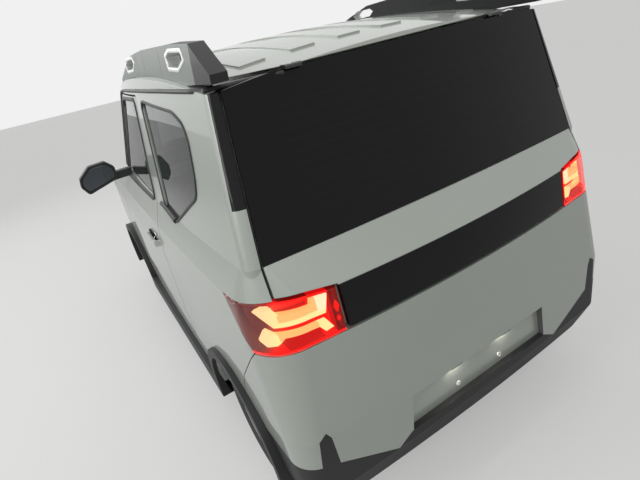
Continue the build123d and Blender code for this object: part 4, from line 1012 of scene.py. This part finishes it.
bpy.ops.mesh.edge_face_add()
bpy.ops.object.mode_set(mode="OBJECT")
settle(cup)
settle(apply(cup, "SOLIDIFY", thickness=CUP_WALL, offset=0))
finished_pair(cup, cup_material, "door_left")
KEY_PROFILE = [
    (0.0000, 0.0000), (0.0000, 0.0082), (0.0016, 0.0080), (0.0024, 0.0070), (0.0024, 0.0052),
    (0.0014, 0.0046), (0.0014, 0.0012), (0.0004, 0.0006),
]
KEY_PLACE = (-0.380, 0.7555, 0.885)
key = turned("key_cylinder", KEY_PROFILE, KEY_PLACE, (0, 1, 0), 28)
finished(key, chrome_material, "door_left")

# Door mirrors: a dark anti-glare glass in each housing's recess, on a black backing plate with
# rounded edges.
MIRROR_FACE_X = 0.262
MIRROR_CORNER = 0.014
MIRROR_PLATE_THICK = 0.0020
MIRROR_GLASS_OUTLINE = [
    (0.750, 1.084), (0.748, 1.150), (0.786, 1.188), (0.872, 1.185), (0.932, 1.136), (0.941, 1.092),
    (0.915, 1.043), (0.800, 1.072),
]


def plate_of(name, outline_points, thickness, direction, bevel):
    """A flat plate on a closed outline, thickened along a direction, with its edges rounded."""
    piece = wire(name, outline_points, True)
    edit_all()
    bpy.ops.mesh.edge_face_add()
    bpy.ops.mesh.extrude_region_move(TRANSFORM_OT_translate={"value": Vector(direction) * thickness})
    bpy.ops.object.mode_set(mode="OBJECT")
    return settle(eased(settle(piece), bevel))


silvering = Finish("mirror_silver")
silvering_haze = silvering.noise(20, 2.0)
silvering_material = silvering.surface(
    Base_Color=silvering.blend(silvering_haze, (0.090, 0.100, 0.112, 1), (0.110, 0.120, 0.132, 1)),
    Metallic=1.0,
    Roughness=0.02 + 0.02 * silvering_haze,
)
mirror_plates = {
    "mirror_backing": (0.0105, 0.0058, 0.0005, grained_material, "trim_black"),
    "mirror_glass": (0.0130, 0.0038, 0.0006, silvering_material, "window_glass"),
}
for kind, (inset, depth, edge, material, slot) in mirror_plates.items():
    outline = rounded(grown(MIRROR_GLASS_OUTLINE, -inset), MIRROR_CORNER)
    places = [(MIRROR_FACE_X + depth, y, z) for y, z in outline]
    plate = plate_of(f"{kind}_left", places, MIRROR_PLATE_THICK, (-1, 0, 0), edge)
    finished_pair(plate, material, "door_left")

# Tyres: radial road tyres with five rows of tread blocks, narrow ribs round the shoulder and a
# plain raised ring on each side wall. They stand for the plain tyres of the frame.
TYRE_RADIUS = 0.2539
BEAD_RADIUS = 0.1530
BEAD_HALF = 0.0555
TREAD_FLOOR = 0.2478
HALF_TRACK = 0.650
AXLE_FRONT_X = 1.010
AXLE_REAR_X = -1.000
TREAD_PITCHES = 54
TREAD_BLOCK_HEIGHT = 0.0074
TREAD_BLOCK_DROP = 0.0042
TREAD_BLOCK_EDGE = 0.0010
TREAD_MERGE = 0.00005
CARCASS_SIDE = [
    (BEAD_HALF, BEAD_RADIUS), (0.0557, 0.1660), (0.0610, 0.1730), (0.0616, 0.1745),
    (0.0632, 0.1750), (0.0660, 0.1840), (0.0700, 0.1960), (0.0712, 0.2000), (0.0722, 0.2012),
    (0.0722, 0.2048), (0.0712, 0.2060), (0.0712, 0.2140), (0.0700, 0.2230), (0.0672, 0.2330),
    (0.0672, 0.2350), (0.0650, 0.2400), (0.0620, 0.2440), (0.0580, 0.2468), (0.0500, TREAD_FLOOR),
]
TREAD_ROWS = {
    "centre": (0.0000, 0.0120, 0.92, 0),
    "inner": (0.0205, 0.0130, 0.74, 16),
    "shoulder": (0.0440, 0.0230, 0.80, -7),
}
tyre_rubber = Finish("tyre_rubber")
tyre_dust = tyre_rubber.noise(24, 5.0, 0.65)
tyre_fine = tyre_rubber.noise(420, 3.0)
tyre_material = tyre_rubber.surface(
    Base_Color=tyre_rubber.blend(tyre_dust, (0.016, 0.016, 0.017, 1), (0.042, 0.040, 0.038, 1)),
    Roughness=0.60 + 0.25 * tyre_dust,
    Normal=tyre_rubber.bump(tyre_fine, 0.3, 0.0004, 0.0008),
)
hub_left = (AXLE_REAR_X, HALF_TRACK, TYRE_RADIUS)
profile = CARCASS_SIDE + [(-y, r) for y, r in reversed(CARCASS_SIDE)]
carcass = turned("tyre_rear_left_carcass", profile, hub_left, (0, 1, 0), 96)
blocks = []
pitch = 2 * math.pi * TYRE_RADIUS / TREAD_PITCHES
for y, width, fill, slant in TREAD_ROWS.values():
    for sign in ((1,) if y == 0 else (1, -1)):
        middle = Vector((AXLE_REAR_X, HALF_TRACK + sign * y, 2 * TYRE_RADIUS - TREAD_BLOCK_DROP))
        block = box("block", middle, (pitch * fill, width, TREAD_BLOCK_HEIGHT))
        edit_all()
        bpy.ops.transform.rotate(
            value=math.radians(sign * slant), orient_axis="Z", orient_type="GLOBAL", center_override=middle
        )
        bpy.ops.object.mode_set(mode="OBJECT")
        blocks.append(eased(block, TREAD_BLOCK_EDGE, 1))
tread = join("tread", blocks)
edit_all()
bpy.ops.mesh.spin(
    steps=TREAD_PITCHES, dupli=True, angle=math.radians(360), center=hub_left, axis=(0, 1, 0)
)
bpy.ops.object.mode_set(mode="OBJECT")
settle(tread, TREAD_MERGE)
tyre = join("tyre_rear_left_tread", [carcass, tread])
bpy.ops.object.shade_smooth_by_angle(angle=math.radians(32))


def moved_copy(piece, name, shift):
    """A copy moved along the car."""
    copy = copied(piece, name)
    copy.data.transform(Matrix.Translation(shift))
    return copy


WHEELBASE = Vector((AXLE_FRONT_X - AXLE_REAR_X, 0, 0))


def four_of(piece, name):
    """A piece of the left rear wheel and its copies on the other wheels, by wheel."""
    other = mirrored(piece, name.format("rear_right"))
    return {
        "rear_left": piece,
        "rear_right": other,
        "front_left": moved_copy(piece, name.format("front_left"), WHEELBASE),
        "front_right": moved_copy(other, name.format("front_right"), WHEELBASE),
    }


for place, piece in four_of(tyre, "tyre_{}_tread").items():
    finished(piece, tyre_material, f"wheel_{place}")
    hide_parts(f"tyre_{place}")

# Wheels: pressed steel rims sprayed silver, each held by four nuts, with a plastic cap over the
# hub and a rubber valve near the edge.
rim_paint = Finish("rim_silver")
rim_flake = rim_paint.noise(700, 2.0)
rim_brake_dust = rim_paint.noise(18, 5.0, 0.6)
rim_material = rim_paint.surface(
    Base_Color=rim_paint.blend(rim_brake_dust, (0.40, 0.41, 0.42, 1), (0.28, 0.28, 0.28, 1)),
    Metallic=0.65,
    Roughness=0.32 + 0.12 * rim_flake + 0.10 * rim_brake_dust,
    Normal=rim_paint.bump(rim_flake, 0.04, 0.0002, 0.002),
)
dress(rim_material, "rim_front_left", "rim_front_right", "rim_rear_left", "rim_rear_right")
CAP_PROFILE = [
    (0.0165, 0.0000), (0.0165, 0.0270), (0.0200, 0.0278), (0.0250, 0.0262), (0.0285, 0.0215),
    (0.0300, 0.0130), (0.0304, 0.0000),
]
NUT_RADIUS = 0.0095
NUT_RING = 0.0400
NUT_FACE = 0.0162
NUT_HEIGHT = 0.0130
NUT_EDGE = 0.0012
NUT_MIDDLE_Y = NUT_FACE + NUT_HEIGHT / 2
hub_cap = turned("wheel_cap_rear_left", CAP_PROFILE, hub_left, (0, 1, 0), closed=False)
nut_pieces = []
for i in range(4):
    turn = math.radians(45 + 90 * i)
    centre = Vector(hub_left) + Vector((NUT_RING * math.cos(turn), NUT_MIDDLE_Y, NUT_RING * math.sin(turn)))
    bpy.ops.object.select_all(action="DESELECT")
    bpy.ops.mesh.primitive_cylinder_add(
        vertices=6, radius=NUT_RADIUS, depth=NUT_HEIGHT, location=centre, rotation=(math.radians(90), 0, 0)
    )
    nut = bpy.context.object
    bpy.ops.object.transform_apply(location=True, rotation=True, scale=True)
    edit_all()
    bpy.ops.mesh.bevel(offset=NUT_EDGE, segments=2, affect="EDGES")
    bpy.ops.object.mode_set(mode="OBJECT")
    nut_pieces.append(nut)
nuts = settle(join("wheel_nuts_rear_left", nut_pieces))
VALVE_PROFILE = [
    (0.0000, 0.0000), (0.0000, 0.0055), (0.0060, 0.0048), (0.0180, 0.0036), (0.0190, 0.0042),
    (0.0300, 0.0040), (0.0310, 0.0000),
]
VALVE_PLACE = Vector((0.1180, 0.0380, 0.0))
VALVE_AXIS = (0.25, 1, 0)
valve_foot = Vector(hub_left) + VALVE_PLACE
valve = turned("valve_rear_left", VALVE_PROFILE, valve_foot, VALVE_AXIS, 16, False)
wheel_trim = {
    "wheel_cap": (hub_cap, grained_material, "trim_black"),
    "wheel_nuts": (nuts, silver_material, "chassis_steel"),
    "valve": (valve, rubber_material, "trim_black"),
}
for kind, (trim, material, slot) in wheel_trim.items():
    for place, piece in four_of(trim, kind + "_{}").items():
        finished(piece, material, f"wheel_{place}")

# Front and rear seats: foam pads under a dark woven cover with lighter inserts between seams, on
# moulded shells. Each pad is cut a little small, swollen as a filled cover swells, then subdivided.
CLOTH_DARK = (0.070, 0.072, 0.078, 1)
CLOTH_LIGHT = (0.150, 0.152, 0.160, 1)
INSERT_DARK = (0.19, 0.20, 0.20, 1)
INSERT_LIGHT = (0.30, 0.31, 0.31, 1)
WEAVE_PITCH = 0.0032
STITCH_LINE = 0.0016


def cover_cloth(name, half_insert, centres):
    """Woven cover with lighter inserts of a half width about some centres, and seams between."""
    cloth = Finish(name)
    x, y, z = cloth.axes()
    warp = y.zigzag(WEAVE_PITCH / 2)
    weft = (x * 0.8 + z).zigzag(WEAVE_PITCH / 2)
    weave = (warp + weft) / WEAVE_PITCH
    pile = cloth.noise(900, 2.0)
    fade = cloth.noise(6, 3.0)
    near = abs(y - centres[0])
    for centre in centres[1:]:
        near = near.at_most(abs(y - centre))
    insert = near < half_insert
    seam = abs(near - half_insert) < STITCH_LINE
    outer = cloth.blend(weave * 0.6 + pile * 0.4, CLOTH_DARK, CLOTH_LIGHT)
    inner = cloth.blend(weave * 0.6 + fade * 0.4, INSERT_DARK, INSERT_LIGHT)
    covered = cloth.blend(insert, outer, inner)
    return cloth.surface(
        Base_Color=cloth.blend(seam * 0.9, covered, (0.02, 0.02, 0.022, 1)),
        Roughness=0.80 + 0.12 * pile,
        Sheen_Weight=0.25,
        Sheen_Roughness=0.5,
        Normal=cloth.bump(weave + pile * 0.4 - seam * 2.0, 0.5, 0.0008),
    )


SEAT_Y = 0.335
SEAT_INSERT_HALF = 0.135
REAR_SEAT_Y = 0.265
REAR_INSERT_HALF = 0.170
front_cloth = cover_cloth("front_seat_cloth", SEAT_INSERT_HALF, (SEAT_Y, -SEAT_Y))
rear_cloth = cover_cloth("rear_seat_cloth", REAR_INSERT_HALF, (REAR_SEAT_Y, -REAR_SEAT_Y))


def profile_block(name, profile, y_low, y_high):
    """A block of a closed side profile between two places across the car."""
    piece = wire(name, [(x, y_low, z) for x, z in profile], True)
    edit_all()
    bpy.ops.mesh.edge_face_add()
    bpy.ops.mesh.extrude_region_move(TRANSFORM_OT_translate={"value": (0, y_high - y_low, 0)})
    bpy.ops.object.mode_set(mode="OBJECT")
    return settle(piece)


PAD_ROUNDING = 0.018
PAD_VOXEL = 0.008
PAD_PRESSURE = 4.0
PAD_FRAMES = 14


def swell(piece, cap):
    """Fills a pad with cloth under pressure, no point moving further than a cap."""
    eased(piece, PAD_ROUNDING, 3, 40)
    apply(piece, "REMESH", mode="VOXEL", voxel_size=PAD_VOXEL)
    before = [vertex.co.copy() for vertex in piece.data.vertices]
    modifier = piece.modifiers.new("cloth", "CLOTH")
    modifier.settings.use_pressure = True
    modifier.settings.uniform_pressure_force = PAD_PRESSURE
    modifier.settings.effector_weights.gravity = 0
    modifier.settings.quality = 4
    modifier.point_cache.frame_end = PAD_FRAMES
    scene = bpy.context.scene
    for step in range(1, PAD_FRAMES + 1):
        scene.frame_set(step)
    bpy.ops.object.modifier_apply(modifier=modifier.name)
    scene.frame_set(1)
    for vertex, start in zip(piece.data.vertices, before):
        reach = vertex.co - start
        if reach.length > cap:
            vertex.co = start + reach.normalized() * cap
    apply(piece, "SMOOTH", factor=0.5, iterations=4)
    apply(piece, "SUBSURF", levels=1, render_levels=1)
    bpy.ops.object.shade_smooth()
    return piece


CUSHION_SIDE = [
    (0.335, 0.440), (0.375, 0.475), (0.352, 0.528), (0.010, 0.500), (-0.085, 0.455),
    (-0.070, 0.432),
]
BACK_SIDE = [
    (-0.030, 0.535), (-0.158, 1.045), (-0.250, 1.045), (-0.140, 0.500), (-0.100, 0.478),
    (-0.040, 0.500),
]
REST_SIDE = [(-0.168, 1.085), (-0.182, 1.175), (-0.218, 1.250), (-0.242, 1.245), (-0.244, 1.085)]
FRONT_PADS = {
    "front_cushion": (CUSHION_SIDE, 0.215),
    "front_back": (BACK_SIDE, 0.205),
    "front_headrest": (REST_SIDE, 0.115),
}
FRONT_PAD_CAP = 0.016
front_pads = [
    profile_block(f"{kind}_left", side_profile, SEAT_Y - half, SEAT_Y + half)
    for kind, (side_profile, half) in FRONT_PADS.items()
]
SHELL_SIDE = [
    (0.062, 0.272), (0.328, 0.272), (0.338, 0.418), (0.330, 0.438), (-0.070, 0.428),
    (-0.070, 0.422), (0.050, 0.418),
]
BACK_SHELL_SIDE = [(-0.148, 0.500), (-0.256, 1.060), (-0.246, 1.062), (-0.136, 0.505)]
SEAT_SHELLS = {
    "front_seat_base": (SHELL_SIDE, 0.200, 0.006),
    "front_seat_shell": (BACK_SHELL_SIDE, 0.190, 0.004),
}
shell_finish = Finish("seat_shell")
shell_cells = shell_finish.cells(420)
shell_tone = shell_finish.noise(8, 3.0)
shell_material = shell_finish.surface(
    Base_Color=shell_finish.blend(shell_tone, (0.028, 0.028, 0.030, 1), (0.046, 0.046, 0.048, 1)),
    Roughness=0.45 + 0.2 * shell_finish.noise(30, 3.0),
    Normal=shell_finish.bump(shell_cells, 0.25, 0.0003, 0.002),
)


def hard_block(name, profile, y_low, y_high, rounding):
    """A block of a closed side profile with its edges rounded."""
    return settle(eased(profile_block(name, profile, y_low, y_high), rounding, 2, 40))


seat_shells = [
    hard_block(f"{kind}_left", side_profile, SEAT_Y - half, SEAT_Y + half, rounding)
    for kind, (side_profile, half, rounding) in SEAT_SHELLS.items()
]
POST_FOOT = (-0.205, 1.010)
POST_TOP = (-0.207, 1.130)
POST_OFF = 0.055
POST_RADIUS = 0.0055
posts = []
for y in (SEAT_Y - POST_OFF, SEAT_Y + POST_OFF):
    post_line = [(POST_FOOT[0], y, POST_FOOT[1]), (POST_TOP[0], y, POST_TOP[1])]
    posts.append(bead("post", post_line, POST_RADIUS))
rest_posts = join("headrest_posts_left", posts)
for pad in front_pads:
    for piece in finished_pair(swell(pad, FRONT_PAD_CAP), front_cloth, "root"):
        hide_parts("front_seats")
for shell in seat_shells:
    finished_pair(shell, shell_material, "root")
finished_pair(rest_posts, chrome_material, "root")
REAR_CUSHION_SIDE = [
    (-0.620, 0.500), (-0.600, 0.560), (-0.618, 0.600), (-0.930, 0.578), (-1.030, 0.560),
    (-1.040, 0.490),
]
REAR_BACK_SIDE = [
    (-0.972, 0.615), (-1.066, 1.010), (-1.146, 1.112), (-1.180, 1.108), (-1.152, 0.990),
    (-1.086, 0.615), (-1.030, 0.600),
]
REAR_HALF = 0.515
REAR_SPLIT_HALF = 0.004
REAR_PAD_CAP = 0.014
rear_cushion = profile_block("rear_cushion", REAR_CUSHION_SIDE, -REAR_HALF, REAR_HALF)
rear_back = profile_block("rear_back_left", REAR_BACK_SIDE, REAR_SPLIT_HALF, REAR_HALF)
finished(swell(rear_cushion, REAR_PAD_CAP), rear_cloth, "root")
rear_backs = finished_pair(swell(rear_back, REAR_PAD_CAP), rear_cloth, "root")
for piece in (rear_cushion, *rear_backs):
    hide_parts("rear_seat")
REAR_BASE_SIDE = [(-0.610, 0.472), (-0.612, 0.498), (-1.074, 0.490), (-1.082, 0.472)]
REAR_BASE_HALF = 0.510
REAR_BASE_ROUNDING = 0.003
rear_base = hard_block(
    "rear_seat_base", REAR_BASE_SIDE, -REAR_BASE_HALF, REAR_BASE_HALF, REAR_BASE_ROUNDING
)
finished(rear_base, shell_material, "root")

# Dashboard: one moulded slab with a soft grain. Let into it are an instrument and centre screen
# panel under one glass, and four round air vents with their vanes.
dash = Finish("dash_plastic")
dash_cells = dash.cells(480)
dash_tone = dash.noise(5, 3.0)
dash_material = dash.surface(
    Base_Color=dash.blend(dash_tone, (0.030, 0.031, 0.033, 1), (0.048, 0.049, 0.051, 1)),
    Roughness=0.50 + 0.2 * dash_tone,
    Normal=dash.bump(dash_cells, 0.3, 0.0003, 0.004),
)
dress(dash_material, "dashboard")
PANEL_LOW = (0.598, -0.130, 0.852)
PANEL_HIGH = (0.612, 0.475, 0.928)
PANEL_ROUNDING = 0.005
PANEL_WINDOWS = ((0.335, 0.120), (0.020, 0.125))
PANEL_WINDOW_Z = 0.890
PANEL_WINDOW_HALF = 0.028
panel = rounded_block("dash_screen", PANEL_LOW, PANEL_HIGH, PANEL_ROUNDING, 4)
screen_glow = Finish("dash_screen_glass")
_, glow_y, glow_z = screen_glow.axes()
shown = 0.0
for y, half in PANEL_WINDOWS:
    shown = (abs(glow_y - y) < half) + shown
shown = shown * (abs(glow_z - PANEL_WINDOW_Z) < PANEL_WINDOW_HALF)
screen_panel_material = screen_glow.surface(
    Base_Color=screen_glow.blend(shown, (0.006, 0.006, 0.007, 1), (0.012, 0.016, 0.022, 1)),
    Roughness=0.06 + 0.05 * screen_glow.noise(20, 2.0),
    IOR=1.45,
)
finished(panel, screen_panel_material, "root")
VENT_PROFILE = [
    (0.000, 0.026), (0.000, 0.040), (0.004, 0.0395), (0.006, 0.037), (0.005, 0.034), (0.001, 0.030),
]
VENT_FACE_X = 0.6045
VENT_Z = 0.845
VENTS = {"left_outer": 0.545, "left_inner": -0.175, "right_inner": -0.290, "right_outer": -0.545}
VANE_X = (0.6005, 0.6040)
VANE_HALF = 0.0012
VANE_PITCH = 0.0105
VANE_REACH = 0.028
VANE_EDGE = 0.0005
for name, y in VENTS.items():
    ring = turned(f"vent_ring_{name}", VENT_PROFILE, (VENT_FACE_X, y, VENT_Z), (-1, 0, 0))
    finished(ring, silver_material, "root")
    vanes = []
    for i in range(5):
        rise = (i - 2) * VANE_PITCH
        half = math.sqrt(VANE_REACH ** 2 - rise ** 2)
        low = (VANE_X[0], y - half, VENT_Z + rise - VANE_HALF)
        high = (VANE_X[1], y + half, VENT_Z + rise + VANE_HALF)
        vanes.append(rounded_block("vane", low, high, VANE_EDGE, 1))
    finished(settle(join(f"vent_vanes_{name}", vanes)), dash_material, "root")

# Steering wheel: rim, spokes and boss moulded over a frame in one black foam with a fine grain, on
# its column.
grip = Finish("wheel_grip")
grip_cells = grip.cells(620)
grip_tone = grip.noise(30, 3.0)
grip_material = grip.surface(
    Base_Color=grip.blend(grip_tone, (0.020, 0.020, 0.021, 1), (0.036, 0.036, 0.037, 1)),
    Roughness=0.45 + 0.15 * grip_tone,
    Normal=grip.bump(grip_cells, 0.35, 0.0003, 0.003),
)
dress(grip_material, "steering_wheel")

# Lower hinge covers: a thin painted plate on each door, over the notch that the pocket of its
# lower hinge leaves in the solid's outer skin. On the real door the skin is plain here.
HINGE_COVER = [(0.524, 0.347), (0.6045, 0.347), (0.6045, 0.423), (0.524, 0.423)]
HINGE_COVER_LIFT = 0.0003
HINGE_COVER_THICK = 0.0006
HINGE_COVER_CORNER = 0.004
HINGE_COVER_EDGE = 0.0002
cover_corners = rounded(HINGE_COVER, HINGE_COVER_CORNER)
cover_outline = [side_point(x, z, ("door_panel_left",), HINGE_COVER_LIFT) for x, z in cover_corners]
hinge_cover = plate_of(
    "door_hinge_cover_left", cover_outline, HINGE_COVER_THICK, (0, 1, 0), HINGE_COVER_EDGE
)
finished_pair(hinge_cover, paint_material, "door_left")

# Windscreen wipers: two pressed arms turn on spindles in the cowl, and each carries a rubber blade
# that lies along the foot of the glass.
WIPERS = {"left": (0.500, 0.060, -0.060), "right": (-0.080, -0.520, -0.560)}
WIPER_BLADE_Z = (1.118, 1.100)
WIPER_BLADE_STEPS = 8
WIPER_CAST_FROM = 1.2
RUBBER_LIFT = 0.004
RUBBER_RADIUS = 0.0026
BLADE_LIFT = 0.011
BLADE_RADIUS = 0.0052
SPINDLE_Z = 1.075
SPINDLE_LIFT = 0.014
SPINDLE_AXIS = (0.35, 0, 1)
SPINDLE_PROFILE = [
    (-0.020, 0.001), (-0.020, 0.010), (0.004, 0.010), (0.009, 0.006), (0.009, 0.001),
]
ARM_JOINT_DROP = 0.006
ARM_JOINT_LIFT = 0.019
ARM_BOW = Vector((0.004, 0, 0.003))
ARM_RADIUS = 0.0046


def screen_point(y, z, lift):
    """A point laid on the windscreen, seen from ahead."""
    start = Vector((WIPER_CAST_FROM, y, z))
    _, place, normal, _ = nodes["windscreen"].ray_cast(start, Vector((-1, 0, 0)))
    return place + normal * lift


for side, (start_y, end_y, spindle_y) in WIPERS.items():
    blade_line = []
    for i in range(WIPER_BLADE_STEPS + 1):
        t = i / WIPER_BLADE_STEPS
        z = WIPER_BLADE_Z[0] + (WIPER_BLADE_Z[1] - WIPER_BLADE_Z[0]) * t
        blade_line.append((start_y + (end_y - start_y) * t, z))
    rubber_line = [screen_point(y, z, RUBBER_LIFT) for y, z in blade_line]
    blade_back_line = [screen_point(y, z, BLADE_LIFT) for y, z in blade_line]
    rubber_edge = bead("rubber_edge", rubber_line, RUBBER_RADIUS)
    blade_back = bead("blade_back", blade_back_line, BLADE_RADIUS)
    blade = join(f"wiper_blade_{side}", [rubber_edge, blade_back])
    finished(blade, rubber_material, "root")
    foot = screen_point(spindle_y, SPINDLE_Z, SPINDLE_LIFT)
    joint = screen_point((start_y + end_y) / 2, WIPER_BLADE_Z[0] - ARM_JOINT_DROP, ARM_JOINT_LIFT)
    arm = bead(f"wiper_arm_{side}", [foot, foot.lerp(joint, 0.5) + ARM_BOW, joint], ARM_RADIUS)
    spindle = turned(f"wiper_spindle_{side}", SPINDLE_PROFILE, foot, SPINDLE_AXIS, 20)
    finished(join(f"wiper_arm_{side}", [arm, spindle]), grained_material, "root")
